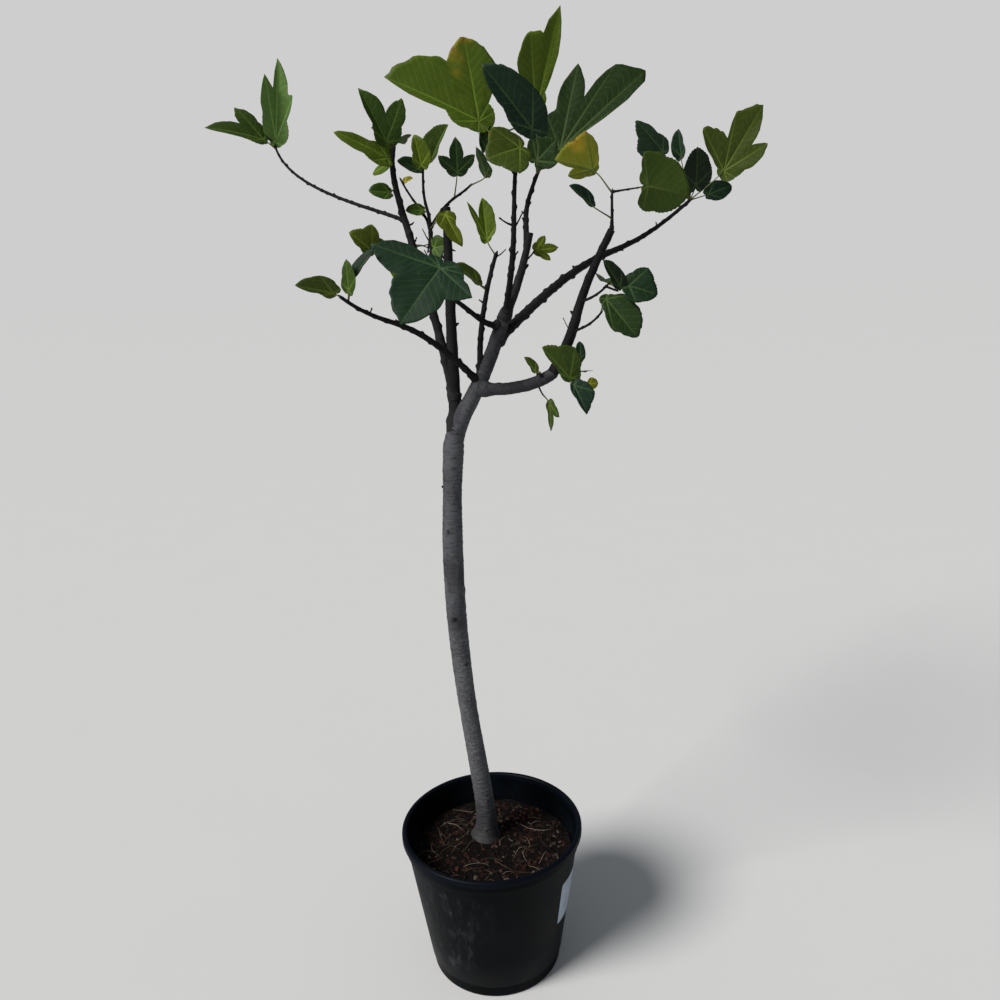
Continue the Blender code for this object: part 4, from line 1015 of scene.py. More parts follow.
# Points, faces and attribute layers of bark, gathered limb by limb.
class Wood:
    def __init__(self):
        self.points = []
        self.faces = []
        self.grain = []
        self.age = []
        self.marks = []
        self.lichen = []

    def add(self, name, curve, first, last, radiusAt, sides, end, parentRadius=0.0, lumps=(), step=None):
        route = routeOf(curve, first, last, step or barkDetail["ringStep"])
        rings = []
        total = route[-1][0]
        for run, share, point in route:
            radius = radiusAt(share)
            if parentRadius:
                past = (run - parentRadius) / (1.2 * radius)
                radius *= 1 + barkDetail["collar"] * math.exp(-max(0, past) ** 2)
            rings.append((run, share, point, radius, 0.0, 0.0))
        tail = (route[-1][2] - route[-2][2]).normalized()
        radius = rings[-1][3]
        tip = route[-1][2]
        for rise, shrink, mark, fresh in endRings(end):
            far = radius * rise
            rings.append((total + far, last, tip + tail * radius * rise, radius * shrink, mark, fresh))
        self.skin(name, rings, sides, lumps, end)

    def skin(self, name, rings, sides, lumps, end):
        offset = random.Random(name + " grain").uniform(0, 40)
        side = None
        first = len(self.points)
        angles = [2 * math.pi * step / sides for step in range(sides)]
        turns = [(math.cos(angle), math.sin(angle)) for angle in angles]
        for number, (run, share, point, radius, mark, fresh) in enumerate(rings):
            ahead = rings[min(number + 1, len(rings) - 1)][2]
            behind = rings[max(number - 1, 0)][2]
            along = (ahead - behind).normalized()
            if side is None:
                side = along.cross(Vector((0, 1, 0))).normalized()
            side = (side - along * side.dot(along)).normalized()
            other = along.cross(side)
            near = [lump for lump in lumps if abs(lump[0] - run) < 3.2 * lump[2]]
            age = max(0, (radius / mm - barkDetail["youngRadius"]) / barkDetail["ageSpan"])
            # painted light and shade: some limbs' bark made paler or darker by a factor of their own
            age = min(1, age * barkDetail["tone"].get(name, 1))
            size = max(radius, 2 * mm)
            for angle, (across, up) in zip(angles, turns):
                place = Vector((across * size, up * size, run + offset))
                far = run + offset
                slow = noise.noise(Vector((across * 1.3, up * 1.3, far / (barkDetail["lumpSize"] * size))))
                ringed = noise.noise(Vector((across * 1.1, up * 1.1, far / barkDetail["wrinkleStep"] * 1.6)))
                swell = barkDetail["lump"] * slow + barkDetail["wrinkle"] * ringed
                scar = mark
                for at, around, reach, spread, height, hollow in near:
                    turn = math.remainder(angle - around, 2 * math.pi) / spread
                    off = ((run - at) / reach) ** 2 + turn ** 2
                    if off < 8:
                        bell = math.exp(-off)
                        swell += height * (bell - hollow * math.exp(-off * 5))
                        scar = max(scar, hollow * math.exp(-off * 3.2))
                self.points.append(point + (side * across + other * up) * (radius * (1 + swell)))
                self.grain.append(place)
                self.age.append(float(age))
                height = self.points[-1].z
                self.marks.append((min(1.0, scar), lowDarkAt(name, height), fresh, 1.0))
                self.lichen.append(lichenAt(name, height))
        self.faces += ringFaces(first, len(rings), sides)

    def piece(self, name, nodes, material):
        return meshPiece(name, self.points, self.faces, material, "wood", nodes, grain=self.grain,
                         age=self.age, marks=self.marks, lichen=self.lichen)


# How much darker the trunk is at this height, most just above the soil.
def lowDarkAt(name, height):
    if name != "trunk":
        return 0.0
    above = max(0, height - barkDetail["lowDarkTop"])
    return math.exp(-above / barkDetail["lowDarkFade"]) * barkDetail["lowDarkAmount"]


def lichenAt(name, height):
    if name != "trunk":
        return 0.0
    low, high = barkDetail["speckled"]
    off = (height - (low + high) / 2) / ((high - low) / 2)
    return max(barkDetail["leastLichen"], math.exp(-off ** 4))


def nodeLumps(name, radius, until):
    rng = random.Random(name + " nodes")
    lumps = []
    run = rng.uniform(8, 14) * mm
    around = rng.uniform(0, 6.28)
    strength = barkDetail["nodeSwell"] * min(1.6, 5.5 * mm / radius)
    while run < until:
        lumps.append((run, around, rng.uniform(.5, .8) * radius + 1 * mm, rng.uniform(1.2, 2.0),
                      strength * rng.uniform(.6, 1.3), 0.0))
        if rng.random() < .7:
            lumps.append((run + radius * .5, around, radius * .45 + .6 * mm, .55, strength * 1.1, .45))
        around += barkDetail["golden"] + rng.uniform(-.4, .4)
        run += rng.uniform(*barkDetail["nodeStep"]) * mm
    return lumps


def evenRadius(name):
    low, high = (value * mm for value in limbs[name]["radii"])
    if name == "trunk":
        return lambda share: trunkRadius(share * limbs["trunk"]["reach"][2] * cm)
    return lambda share: low + (high - low) * share


def curveLength(curve):
    points = [curvePoint(curve, number / 30) for number in range(31)]
    return sum((after - here).length for here, after in zip(points, points[1:]))


def buildWood(material):
    groups = {"trunk_bark": Wood(), "bough_bark": Wood(), "twig_bark": Wood()}
    for name, limb in limbs.items():
        curve = limbCurve(name)
        radiusAt = evenRadius(name)
        length = curveLength(curve)
        parent = evenRadius(limb["on"][0])(limb["on"][1]) if limb["on"] else 0.0
        if radiusAt(0) >= .85 * parent:
            parent = 0.0
        if name == "trunk":
            lumps = [(share * length, math.radians(angle), size * mm, size * mm / radiusAt(share),
                      .35 * size * mm / radiusAt(share), 1.25) for share, angle, size in trunkKnots]
            lumps += [(length * share, 0, 2.2 * mm, 99, .03, 0) for share in (.985, .60, .735, .86)]
        elif radiusAt(.5) < 7 * mm:
            lumps = nodeLumps(name, radiusAt(.6), length)
        else:
            lumps = [(run, around, size, spread * .7, swell * .45, hollow)
                     for run, around, size, spread, swell, hollow in nodeLumps(name, radiusAt(.5), length)]
        group = "trunk_bark" if name in ("trunk", "leader") else "bough_bark"
        sides = tubeSides.get(name) or tubeSides["stout" if radiusAt(0) > stout else "slim"]
        end = "cut" if name in cutEnds else "bud" if "bare" in limb else "round"
        groups[group].add(name, curve, 0, 1, radiusAt, sides, end, parent, lumps)
    for name in masses:
        twigs = massTwigs(name)
        for twigName, (curve, first, radii) in twigs.items():
            if first:
                continue
            low, high = radii
            size = (low + high) / 2 * mm
            label = f"{name} {twigName}"
            lumps = nodeLumps(label, size, curveLength(curve))
            groups["twig_bark"].add(label, curve, 0, 1, lambda share: (low + (high - low) * share) * mm,
                                    tubeSides["twig"], "bud", 2 * size, lumps, 1.4 * mm)
    for number, (name, share, heading, rise, length, radius) in enumerate(spurs):
        start = curvePoint(limbCurve(name), share)
        ahead = direction(heading, rise)
        reach = ahead * (length * cm + evenRadius(name)(share))
        bend = Vector((0, 0, reach.length * .15))
        curve = (start, start + reach * .35 - bend, start + reach * .7 - bend * .4, start + reach)
        label = f"spur {number}"
        lumps = nodeLumps(label, radius * mm, reach.length)
        groups["twig_bark"].add(label, curve, 0, 1, lambda part: radius * mm * (1.15 - .45 * part),
                                tubeSides["spur"], "cut", evenRadius(name)(share), lumps, 1.2 * mm)
    upright = ("trunk", "leader")
    groups["trunk_bark"].piece("trunk_bark", upright, material)
    groups["bough_bark"].piece("bough_bark", [name for name in limbs if name not in upright], material)
    groups["twig_bark"].piece("twig_bark", list(masses), material)


leafDetail = dict(
    raySpacing=3.2,         # degrees between the lines of points from the blade's foot to its edge
    ringSpacing=6.5 * mm,   # and metres between the points along them
    thickness=.7 * mm, tooth=.030, toothSpacing=8 * mm,
    blunt=.8, point=.3,     # straighter edges than the solids', between the same tips and notches
    quilt=.10, pucker=1.1 * mm, ripple=2.2 * mm,
    lastVein=128,           # degrees: one more main vein on each side, towards the foot
    fullSize=9 * cm,        # below this length the teeth and waves get smaller with the blade
    puckerScale=42, rippleScale=26, toothScale=90, grooveDepth=.35 * mm, grooveWidth=1.3 * mm,
)

# Colours of the blades' upper sides. The brightest green paints sunlight on a leaf, and the one named shade
# is painted shade.
greens = {
    "pale": (.062, .104, .022), "light": (.058, .088, .006), "mid": (.030, .054, .007),
    "dark": (.011, .026, .006), "deep": (.005, .016, .006), "olive": (.034, .050, .005),
    "yellow": (.155, .150, .008), "yellowgreen": (.070, .094, .006), "blue": (.004, .015, .008),
    "teal": (.0065, .021, .011), "rear": (.019, .038, .007), "bright": (.100, .170, .040),
    "sage": (.012, .030, .014), "shade": (.0028, .009, .0035),
}

# The colour of each listed leaf, in the order of its mass, and how far it has turned yellow.
# Some leaves take painted light and shade in place of their green: the first far left leaf is painted
# sunlit, and the fourth right tip leaf and the first right middle leaf are painted shade.
leafTints = {
    "far_left_leaves": (("bright", 0), ("mid", 0), ("dark", 0)),
    "left_outer_leaves": (("mid", 0), ("light", 0), ("light", 0), ("mid", 0)),
    "left_inner_leaves": (("light", 0), ("mid", 0), ("dark", 0), ("yellow", .3), ("mid", 0), ("dark", 0),
                          ("teal", 0), ("yellowgreen", .1), ("mid", 0)),
    "front_leaves": (("teal", 0), ("olive", 0), ("light", 0)),
    "left_tip_leaves": (("olive", 0), ("mid", 0), ("blue", 0)),
    "front_left_leaves": (("light", 0), ("olive", 0), ("yellowgreen", 0)),
    "top_left_leaves": (("light", .08), ("dark", 0), ("olive", .22)),
    "top_right_leaves": (("blue", 0), ("light", 0), ("dark", 0), ("dark", 0)),
    "right_upper_leaves": (("blue", 0), ("yellow", .12), ("mid", .05)),
    "right_tip_leaves": (("sage", 0), ("blue", 0), ("olive", 0), ("shade", 0), ("blue", 0)),
    "right_middle_leaves": (("shade", 0), ("deep", 0)),
    "right_lower_leaves": (("dark", 0),),
    "elbow_leaves": (("mid", 0), ("teal", 0), ("yellow", .2), ("blue", 0)),
    "low_left_leaf": (("olive", 0),),
    "hanging_leaf": (("mid", 0),),
    "stub_leaf": (("yellowgreen", 0),),
}

# Where a leaf has a turned patch: its mass and number, the angle from the midrib, the spread and the amount.
turnedPatches = {("right_upper_leaves", 1): (42, 24, .55), ("top_left_leaves", 0): (-50, 18, .45)}


def mainVeins(left, right, width):
    found = []
    for half, sign in ((left, 1), (right, -1)):
        tips = [knot[0] for knot in half[::2]]
        found += [sign * angle for angle in tips[0 if sign == 1 else 1:]]
        found.append(sign * leafDetail["lastVein"])
    veins = []
    for angle in found:
        turn = math.radians(angle)
        flat = Vector((math.cos(turn), math.sin(turn) * width, 0))
        veins.append(flat.normalized())
    return veins


# Points, faces and layers of all the leaves of one mass.
class Blades:
    def __init__(self):
        self.points = []
        self.faces = []
        self.tint = []
        self.vein = []
        self.under = []
        self.autumn = []
        self.tiles = []

    def add(self, label, foot, leaf, tint, autumn, patch):
        rng = random.Random(label)
        left, right = halves[leaf[2]], halves[leaf[3]]
        fold, droop, width = math.radians(leaf[7]), math.radians(leaf[8]), leaf[9]
        length, along, side, out = bladeFrame(leaf[5], leaf[6], droop)
        angles = outlineAngles(left, right, None)
        rings = max(5, min(20, round(length / leafDetail["ringSpacing"])))
        veins = mainVeins(left, right, width)
        edge = []
        for angle in angles:
            half = left if angle >= 0 else right
            radius = halfRadius(half, abs(angle), leafDetail["blunt"], leafDetail["point"])
            turn = math.radians(angle)
            edge.append(Vector((math.cos(turn) * radius, math.sin(turn) * radius * width, 0)))
        runs = [0.0]
        for here, after in zip(edge, edge[1:]):
            runs.append(runs[-1] + (after - here).length * length)
        small = min(1, length / leafDetail["fullSize"])
        toothSize = leafDetail["tooth"] * (.6 + .4 * small)
        phase = rng.uniform(0, 6.28)
        seed = rng.uniform(0, 90)
        top = [(foot.copy(), (0, 0), 0.0)]
        veinAt = [(0.0, 0.0, 0.0)]
        yellowed = [float(autumn)]
        for angle, rimPoint, run in zip(angles, edge, runs):
            calm = min(1, max(0, (172 - abs(angle)) / 50))
            tooth = abs(math.sin(math.pi * run / leafDetail["toothSpacing"] / max(.6, small) + phase)) - .5
            tooth += .8 * noise.noise(Vector((run * leafDetail["toothScale"], seed, 0)))
            reach = 1 + toothSize * tooth * calm
            for ring in range(1, rings + 1):
                part = ring / rings
                flat = rimPoint * (part * (1 + (reach - 1) * part**3))
                nearest, beside = nearestVein(flat, veins)
                lift = leafDetail["quilt"] * beside * length * (1 - .35 * part)
                waves = noise.noise(Vector((flat.x, flat.y, seed)) * (length * leafDetail["puckerScale"]))
                lift += leafDetail["pucker"] * small * waves
                frill = noise.noise(Vector((run * leafDetail["rippleScale"], seed + 7, part * .5)))
                lift += leafDetail["ripple"] * small * part**3 * calm * frill * 1.6
                groove = math.exp(-(beside * length / leafDetail["grooveWidth"]) ** 2)
                groove *= leafDetail["grooveDepth"] * small * (1 - part * .6)
                x, y, z = bladePoint(flat.x, flat.y, fold, droop)
                point = foot + (along * x + side * y + out * z) * length + out * (lift - groove)
                top.append((point, (flat.x, flat.y), part))
                veinAt.append((nearest * length, beside * length, part))
                middle, spread, amount = patch
                yellowed.append(autumn + amount * part * math.exp(-((angle - middle) / spread) ** 2))
        self.sheet(top, veinAt, len(angles), rings, out, tint, yellowed)

    def sheet(self, top, veinAt, rays, rings, out, tint, yellowed):
        first = len(self.points)
        faces = []
        for ray in range(rays):
            this = 1 + ray * rings
            after = 1 + (ray + 1) % rays * rings
            faces.append((0, this, after))
            for ring in range(rings - 1):
                faces.append((this + ring, this + ring + 1, after + ring + 1, after + ring))
        normals = [Vector((0, 0, 0)) for point in top]
        for face in faces:
            a, b, c = (top[corner][0] for corner in face[:3])
            normal = (b - a).cross(c - a)
            for corner in face:
                normals[corner] += normal
        flip = sum(normal.dot(out) for normal in normals) < 0
        count = len(top)
        low = [flat for point, flat, part in top]
        left = min(x for x, y in low), min(y for x, y in low)
        span = max(max(x for x, y in low) - left[0], max(y for x, y in low) - left[1], 1e-6)
        tile = []
        for under in (0, 1):
            for (point, flat, part), normal, vein, autumn in zip(top, normals, veinAt, yellowed):
                normal = normal.normalized() * (-1 if flip else 1) if normal.length else out
                thick = leafDetail["thickness"] * (1 - .5 * part)
                self.points.append(point - normal * (thick * under))
                self.tint.append((*tint, 1.0))
                self.vein.append(vein)
                self.under.append(float(under))
                self.autumn.append(autumn)
                tile.append(((flat[0] - left[0]) / span, (flat[1] - left[1]) / span, under))
        for face in faces:
            upper = [first + corner for corner in face]
            lower = [first + count + corner for corner in face]
            self.faces.append(tuple(reversed(upper)) if flip else tuple(upper))
            self.faces.append(tuple(lower) if flip else tuple(reversed(lower)))
        for ray in range(rays):
            a = first + (ray + 1) * rings
            b = first + ((ray + 1) % rays + 1) * rings
            rim = (a, b, b + count, a + count)
            self.faces.append(rim if flip else tuple(reversed(rim)))
        self.tiles.append((first, tile))

    def piece(self, name, node, material):
        made = meshPiece(name, self.points, self.faces, material, "leaf", (node,), tint=self.tint,
                         vein=self.vein, under=self.under, autumn=self.autumn)
        self.unwrap(made.data)
        return made

    def unwrap(self, mesh):
        count = len(self.tiles)
        across = math.ceil(math.sqrt(count * 2))
        spot = [None] * len(self.points)
        for number, (first, tile) in enumerate(self.tiles):
            for step, (x, y, under) in enumerate(tile):
                cell = number * 2 + under
                spot[first + step] = ((cell % across + .04 + .92 * x) / across,
                                      (cell // across + .04 + .92 * y) / across)
        chart = mesh.uv_layers.new(name="OFBake")
        for polygon in mesh.polygons:
            sides = [self.under[corner] for corner in polygon.vertices]
            rim = max(sides) != min(sides)
            for loop in polygon.loop_indices:
                corner = mesh.loops[loop].vertex_index
                if rim and self.under[corner] == 1:
                    corner = min(other for other in polygon.vertices if self.under[other] == 0)
                chart.data[loop].uv = spot[corner]


def nearestVein(flat, veins):
    best = (0.0, 9.0)
    for vein in veins:
        ahead = flat.dot(vein)
        if ahead < 0:
            continue
        beside = (flat - vein * ahead).length
        if beside < best[1]:
            best = (ahead, beside)
    return best if best[1] < 9 else (0.0, flat.length)


# The leaf stalks, thicker where they spring from the twig.
class Stalks:
    def __init__(self):
        self.points = []
        self.faces = []
        self.along = []

    def add(self, curve, sides=10, rings=18):
        side = None
        first = len(self.points)
        route = [curvePoint(curve, number / (rings - 1)) for number in range(rings)]
        for number, point in enumerate(route):
            share = number / (rings - 1)
            ahead = (route[min(number + 1, rings - 1)] - route[max(number - 1, 0)]).normalized()
            if side is None:
                side = ahead.cross(Vector((0.02, 1, .1))).normalized()
            side = (side - ahead * side.dot(ahead)).normalized()
            other = ahead.cross(side)
            radius = (1.45 - .65 * share + .55 * math.exp(-(share / .06) ** 2)) * mm
            radius *= 1 - .75 * max(0, share - .9) / .1
            for step in range(sides):
                angle = 2 * math.pi * step / sides
                self.points.append(point + (side * math.cos(angle) + other * math.sin(angle)) * radius)
                self.along.append(float(min(1, share * 2.5)))
        self.faces += ringFaces(first, rings, sides)


def buildLeaves(leafMaterial, stalkMaterial):
    stalks = Stalks()
    total = 0
    for name, leaves in growRears().items():
        blades = Blades()
        twigs = massTwigs(name)
        for number, leaf in enumerate(leaves):
            label = f"{name} leaf {number}"
            rng = random.Random(label + " tint")
            chosen, autumn = leafTints[name][number] if number < len(leafTints[name]) else ("rear", 0)
            tint = [value * rng.uniform(.92, 1.08) for value in greens[chosen]]
            spring = onTwig(twigs, leaf)
            foot = spring + Vector(leaf[4]) * cm
            patch = turnedPatches.get((name, number), (0, 1, 0))
            blades.add(label, foot, leaf, tint, autumn, patch)
            length = bladeFrame(leaf[5], leaf[6], math.radians(leaf[8]))[0]
            stalks.add(stalkCurve(spring, foot, leaf, length))
            total += 1
        blades.piece(name.replace("_leaves", "").replace("_leaf", "") + "_blades", name, leafMaterial)
    meshPiece("leaf_stalks", stalks.points, stalks.faces, stalkMaterial, "leaf", list(masses),
              along=stalks.along)
    print("leaves:", total)


potShape = dict(
    height=33.5 * cm, rim=20.0 * cm, collar=19.4 * cm, wallTop=19.0 * cm, wallFoot=15.0 * cm, base=14.5 * cm,
    footHeight=3.0 * cm, collarHeight=30.2 * cm, lipHeight=32.0 * cm, floor=4 * mm, innerFoot=14.25 * cm,
    innerTop=18.8 * cm, sides=160, drainRadius=9 * mm, drainRing=10.5 * cm, drains=8, baseRound=5 * mm,
    sharpAngle=38,
)


def turned(profile, sides):
    points = []
    faces = []
    rings = []
    for radius, height in profile:
        corners = sides if radius else 1
        rings.append(list(range(len(points), len(points) + corners)))
        points += [onCircle(radius, step, sides, height) for step in range(corners)]
    for low, high in zip(rings, rings[1:]):
        for step in range(sides):
            after = (step + 1) % sides
            lower = low[step % len(low)], low[after % len(low)]
            upper = high[after % len(high)], high[step % len(high)]
            faces.append(tuple(dict.fromkeys(lower + upper)))
    return points, faces


def arc(centre, radius, first, last, steps):
    turns = [math.radians(first + (last - first) * step / steps) for step in range(steps + 1)]
    return [(centre[0] + radius * math.cos(turn), centre[1] + radius * math.sin(turn)) for turn in turns]


def buildPot(material):
    shape = potShape
    bead = (shape["rim"] - shape["innerTop"]) / 2
    middle = shape["rim"] - bead
    low = shape["lipHeight"] - 3 * mm
    collar = shape["collarHeight"]
    bend = shape["baseRound"]
    profile = [(0, 0), (shape["base"] - bend, 0)]
    profile += arc((shape["base"] - bend, bend), bend, -60, 0, 4)
    profile += [(shape["base"] + 1 * mm, shape["footHeight"] - 4 * mm),
                (shape["wallFoot"] - 1.2 * mm, shape["footHeight"] - 1.4 * mm),
                (shape["wallFoot"], shape["footHeight"])]
    for share in (.25, .5, .75, .9):
        profile.append((shape["wallFoot"] + (shape["wallTop"] - shape["wallFoot"]) * share,
                        shape["footHeight"] + (collar - 2 * mm - shape["footHeight"]) * share))
    profile += [(shape["wallTop"], collar - 2 * mm), (shape["collar"] - .5 * mm, collar - .6 * mm),
                (shape["collar"], collar + .4 * mm), (shape["collar"], low - 5 * mm), (shape["collar"], low),
                (shape["rim"] - 1.2 * mm, shape["lipHeight"] - .6 * mm), (shape["rim"], shape["lipHeight"])]
    profile += arc((middle, shape["height"] - bead), bead, 0, 180, 14)
    for share in (.15, .35, .6, .85):
        profile.append((shape["innerTop"] + (shape["innerFoot"] - shape["innerTop"]) * share,
                        shape["height"] - bead + (shape["floor"] - shape["height"] + bead) * share))
    profile += [(shape["innerFoot"], shape["floor"]), (0, shape["floor"])]
    points, faces = turned(profile, shape["sides"])
    pot = meshPiece("pot_shell", points, faces, material, "pot", ("pot",), smooth=False)
    drills = []
    for number in range(shape["drains"]):
        angle = 2 * math.pi * (number + .5) / shape["drains"]
        centre = (shape["drainRing"] * math.cos(angle), shape["drainRing"] * math.sin(angle), 0)
        bpy.ops.mesh.primitive_cylinder_add(vertices=24, radius=shape["drainRadius"],
                                            depth=4 * shape["floor"], location=centre)
        drill = bpy.context.object
        drills.append(drill)
        hole = pot.modifiers.new("drain", "BOOLEAN")
        hole.operation = "DIFFERENCE"
        hole.object = drill
    graph = bpy.context.evaluated_depsgraph_get()
    mesh = bpy.data.meshes.new_from_object(pot.evaluated_get(graph))
    pot.modifiers.clear()
    pot.data = mesh
    for drill in drills:
        bpy.data.objects.remove(drill, do_unlink=True)
    mesh.shade_smooth()
    mesh.set_sharp_from_angle(angle=math.radians(shape["sharpAngle"]))


soilShape = dict(
    level=27.0 * cm, relief=4 * mm, levelReach=9 * cm, rings=90, sides=260, crumb=2.6 * mm,
    edgeDrop=1 * mm,        # how far the soil's edge lies below its level
)


def innerRadius(height):
    shape = potShape
    share = (height - shape["floor"]) / (shape["height"] - shape["floor"])
    return shape["innerFoot"] + (shape["innerTop"] - shape["innerFoot"]) * share


def soilHeight(x, y):
    away = math.hypot(x - trunkFoot.x, y - trunkFoot.y)
    uneven = math.sin(70 * x + 1) * math.cos(55 * y) + .6 * math.sin(120 * y + 90 * x + 2)
    rise = min(1, max(0, away / soilShape["levelReach"] - 1))
    return soilShape["level"] + soilShape["relief"] * uneven * rise


def crumbly(x, y):
    place = Vector((x, y, 0))
    rough = noise.noise(place * 95) * .55 + noise.noise(place * 210) * .35 + noise.noise(place * 430) * .22
    return soilHeight(x, y) + soilShape["crumb"] * rough


def buildSoil(soilMaterial, chipMaterial, rootMaterial):
    shape = soilShape
    sides = shape["sides"]
    outer = innerRadius(shape["level"]) - 2 * gap
    points = [Vector((0, 0, crumbly(0, 0)))]
    faces = []
    for ring in range(1, shape["rings"] + 1):
        radius = outer * ring / shape["rings"]
        for step in range(sides):
            point = onCircle(radius, step, sides, shape["level"] - shape["edgeDrop"])
            if ring < shape["rings"]:
                point.z = crumbly(point.x, point.y)
            points.append(point)
    for step in range(sides):
        faces.append((0, 1 + step, 1 + (step + 1) % sides))
    faces += ringFaces(1, shape["rings"], sides, closed=False)
    last = 1 + (shape["rings"] - 1) * sides
    base = potShape["floor"] + gap
    foot = innerRadius(base) - gap
    first = len(points)
    points += [onCircle(foot, step, sides, base) for step in range(sides)]
    for step in range(sides):
        after = (step + 1) % sides
        faces.append((last + step, first + step, first + after, last + after))
    faces.append(tuple(range(first + sides - 1, first - 1, -1)))
    meshPiece("soil_bed", points, faces, soilMaterial, "soil", ("soil",))
    strewChips(outer, chipMaterial)
    strewRoots(outer, rootMaterial)


# Bark chips: how many, their lengths and thicknesses in mm, and how far they keep from edge and trunk.
chipShape = dict(count=620, length=(4, 17), thick=(1.2, 3.2), sides=7, edge=12 * mm, trunk=4.4 * cm)
chipColours = ((.004, .003, .003), (.007, .0045, .004), (.012, .007, .005), (.024, .011, .008),
               (.050, .018, .011), (.038, .027, .020), (.090, .070, .052))


def strewChips(outer, material):
    shape = chipShape
    rng = random.Random("chips")
    points = []
    faces = []
    tint = []
    for number in range(shape["count"]):
        radius = (outer - shape["edge"]) * math.sqrt(rng.random())
        angle = rng.uniform(0, 2 * math.pi)
        x, y = radius * math.cos(angle), radius * math.sin(angle)
        if math.hypot(x - trunkFoot.x, y - trunkFoot.y) < shape["trunk"]:
            continue
        long = rng.uniform(*shape["length"]) * mm * rng.uniform(.5, 1)
        wide = long * rng.uniform(.3, .75)
        thick = rng.uniform(*shape["thick"]) * mm
        turn = Matrix.Rotation(rng.uniform(0, 6.28), 3, "Z") @ Matrix.Rotation(rng.gauss(0, .35), 3, "X")
        turn = turn @ Matrix.Rotation(rng.gauss(0, .3), 3, "Y")
        colour = rng.choice(chipColours)
        middle = Vector((x, y, soilHeight(x, y) + thick * .2))
        first = len(points)
        count = shape["sides"]
        for level, swell in ((-.5, .8), (0, 1.05), (.5, .78)):
            for step in range(count):
                around = 2 * math.pi * step / count
                uneven = 1 + rng.uniform(-.28, .18)
                corner = Vector((math.cos(around) * long / 2 * swell * uneven,
                                 math.sin(around) * wide / 2 * swell * uneven,
                                 thick * (level + rng.uniform(-.12, .12))))
                points.append(middle + turn @ corner)
                tint.append((*colour, 1.0))
        faces += ringFaces(first, 3, count)
    meshPiece("bark_chips", points, faces, material, "soil", (), smooth=False, tint=tint)


# Dry roots on the soil: the same, with how high they arch in mm.
rootShape = dict(count=70, length=(15, 75), thick=(.35, .8), rise=(2.2, 3.4), sides=5, steps=14,
                 start=25 * mm, edge=6 * mm, trunk=3.2 * cm)
rootColours = ((.16, .12, .08), (.10, .07, .045), (.24, .20, .15), (.07, .04, .025))


def strewRoots(outer, material):
    shape = rootShape
    sides = shape["sides"]
    rng = random.Random("roots")
    points = []
    faces = []
    tint = []
    for number in range(shape["count"]):
        radius = (outer - shape["start"]) * math.sqrt(rng.random())
        angle = rng.uniform(0, 2 * math.pi)
        x, y = radius * math.cos(angle), radius * math.sin(angle)
        long = rng.uniform(*shape["length"]) * mm
        thick = rng.uniform(*shape["thick"]) * mm
        heading = rng.uniform(0, 6.28)
        bend = rng.uniform(-1.6, 1.6)
        colour = rng.choice(rootColours)
        steps = shape["steps"]
        first = len(points)
        kept = 0
        for step in range(steps):
            share = step / (steps - 1)
            away = math.hypot(x - trunkFoot.x, y - trunkFoot.y)
            if math.hypot(x, y) > outer - shape["edge"] or away < shape["trunk"]:
                break
            hump = math.sin(math.pi * share) * rng.uniform(*shape["rise"]) * mm
            middle = Vector((x, y, soilHeight(x, y) + hump + .6 * mm))
            ahead = Vector((math.cos(heading), math.sin(heading), 0))
            side = Vector((-ahead.y, ahead.x, 0))
            size = thick * (1 - .6 * share)
            for corner in range(sides):
                around = 2 * math.pi * corner / sides
                lift = Vector((0, 0, math.sin(around) * size))
                points.append(middle + side * (math.cos(around) * size) + lift)
                tint.append((*colour, 1.0))
            kept += 1
            heading += bend / steps + rng.uniform(-.18, .18)
            x += math.cos(heading) * long / steps
            y += math.sin(heading) * long / steps
        faces += ringFaces(first, kept, sides, closed=False)
    meshPiece("dry_roots", points, faces, material, "soil", (), tint=tint)


labelShape = dict(headings=(-37.5, -15), heights=(14.0 * cm, 25.0 * cm), corner=5 * mm, cells=(28, 40))


def outerRadius(height):
    shape = potShape
    share = (height - shape["footHeight"]) / (shape["collarHeight"] - 2 * mm - shape["footHeight"])
    return shape["wallFoot"] + (shape["wallTop"] - shape["wallFoot"]) * share


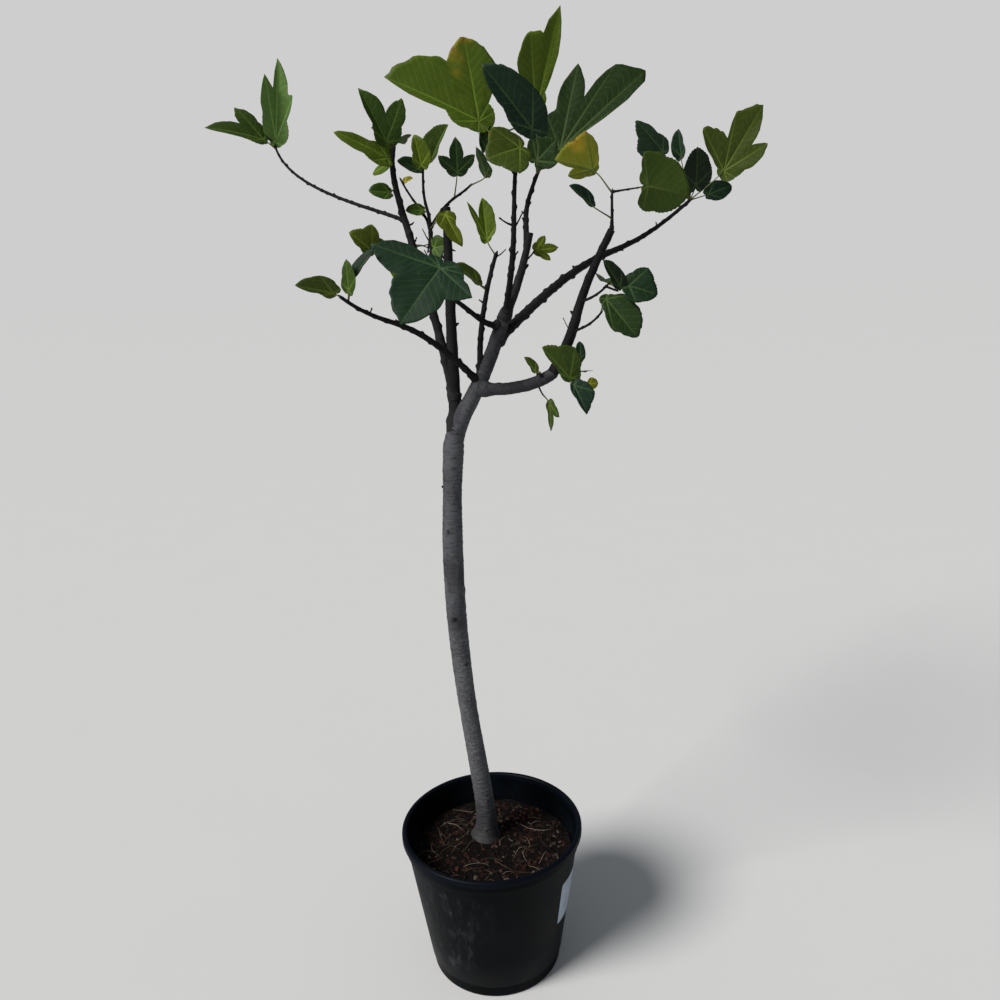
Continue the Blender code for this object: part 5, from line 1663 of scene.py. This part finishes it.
def buildLabel(material):
    shape = labelShape
    first, last = (math.radians(value) for value in shape["headings"])
    low, high = shape["heights"]
    corner = shape["corner"]
    across, up = shape["cells"]
    points = []
    faces = []
    for out in (0, 1):
        for row in range(up + 1):
            height = low + (high - low) * row / up
            radius = outerRadius(height)
            inset = min(height - low, high - height)
            trim = corner - math.sqrt(max(0, corner**2 - max(0, corner - inset)**2))
            for column in range(across + 1):
                share = column / across
                angle = first + trim / radius + (last - first - 2 * trim / radius) * share
                edge = min(share, 1 - share, row / up, 1 - row / up)
                lift = .25 * mm + out * (.35 * mm + .35 * mm * min(1, edge * 14))
                lift += .12 * mm * noise.noise(Vector((share * 6, row / 6, 3))) * out
                far = radius + lift
                points.append(Vector((far * math.cos(angle), far * math.sin(angle), height)))
    wide = across + 1
    count = wide * (up + 1)
    for row in range(up):
        for column in range(across):
            here = row * wide + column
            cell = (here, here + 1, here + wide + 1, here + wide)
            faces.append((cell[0], cell[3], cell[2], cell[1]))
            faces.append(tuple(count + spot for spot in cell))
    rim = list(range(wide))
    rim += [row * wide + across for row in range(1, up + 1)]
    rim += [up * wide + column for column in range(across - 1, -1, -1)]
    rim += [row * wide for row in range(up - 1, 0, -1)]
    for here, after in zip(rim, rim[1:] + rim[:1]):
        faces.append((here, after, count + after, count + here))
    meshPiece("blank_label", points, faces, material, "label", ("label",))


addCamera()
addSky()
addSun()
bpy.ops.mesh.primitive_plane_add(size=studio["floorSide"], location=(0, 0, 0))
floor = bpy.context.object
floor.name = "studio_floor"
floor.data.materials.append(floorFinish())
print("stage: camera, light and floor are set")

buildPot(potFinish())
buildSoil(soilFinish(), chipFinish(), chipFinish())
buildLabel(labelFinish())
print("stage: pot, soil and label are made")

buildWood(barkFinish())
print("stage: bark is made")

buildLeaves(leafFinish(), stalkFinish())
print("stage: leaves are made")

triangles = {}
for made in bpy.data.objects:
    if made.type == "MESH" and made.name != "studio_floor" and not made.hide_render:
        triangles[made.name] = sum(len(polygon.vertices) - 2 for polygon in made.data.polygons)
print("triangles:", sum(triangles.values()), triangles)
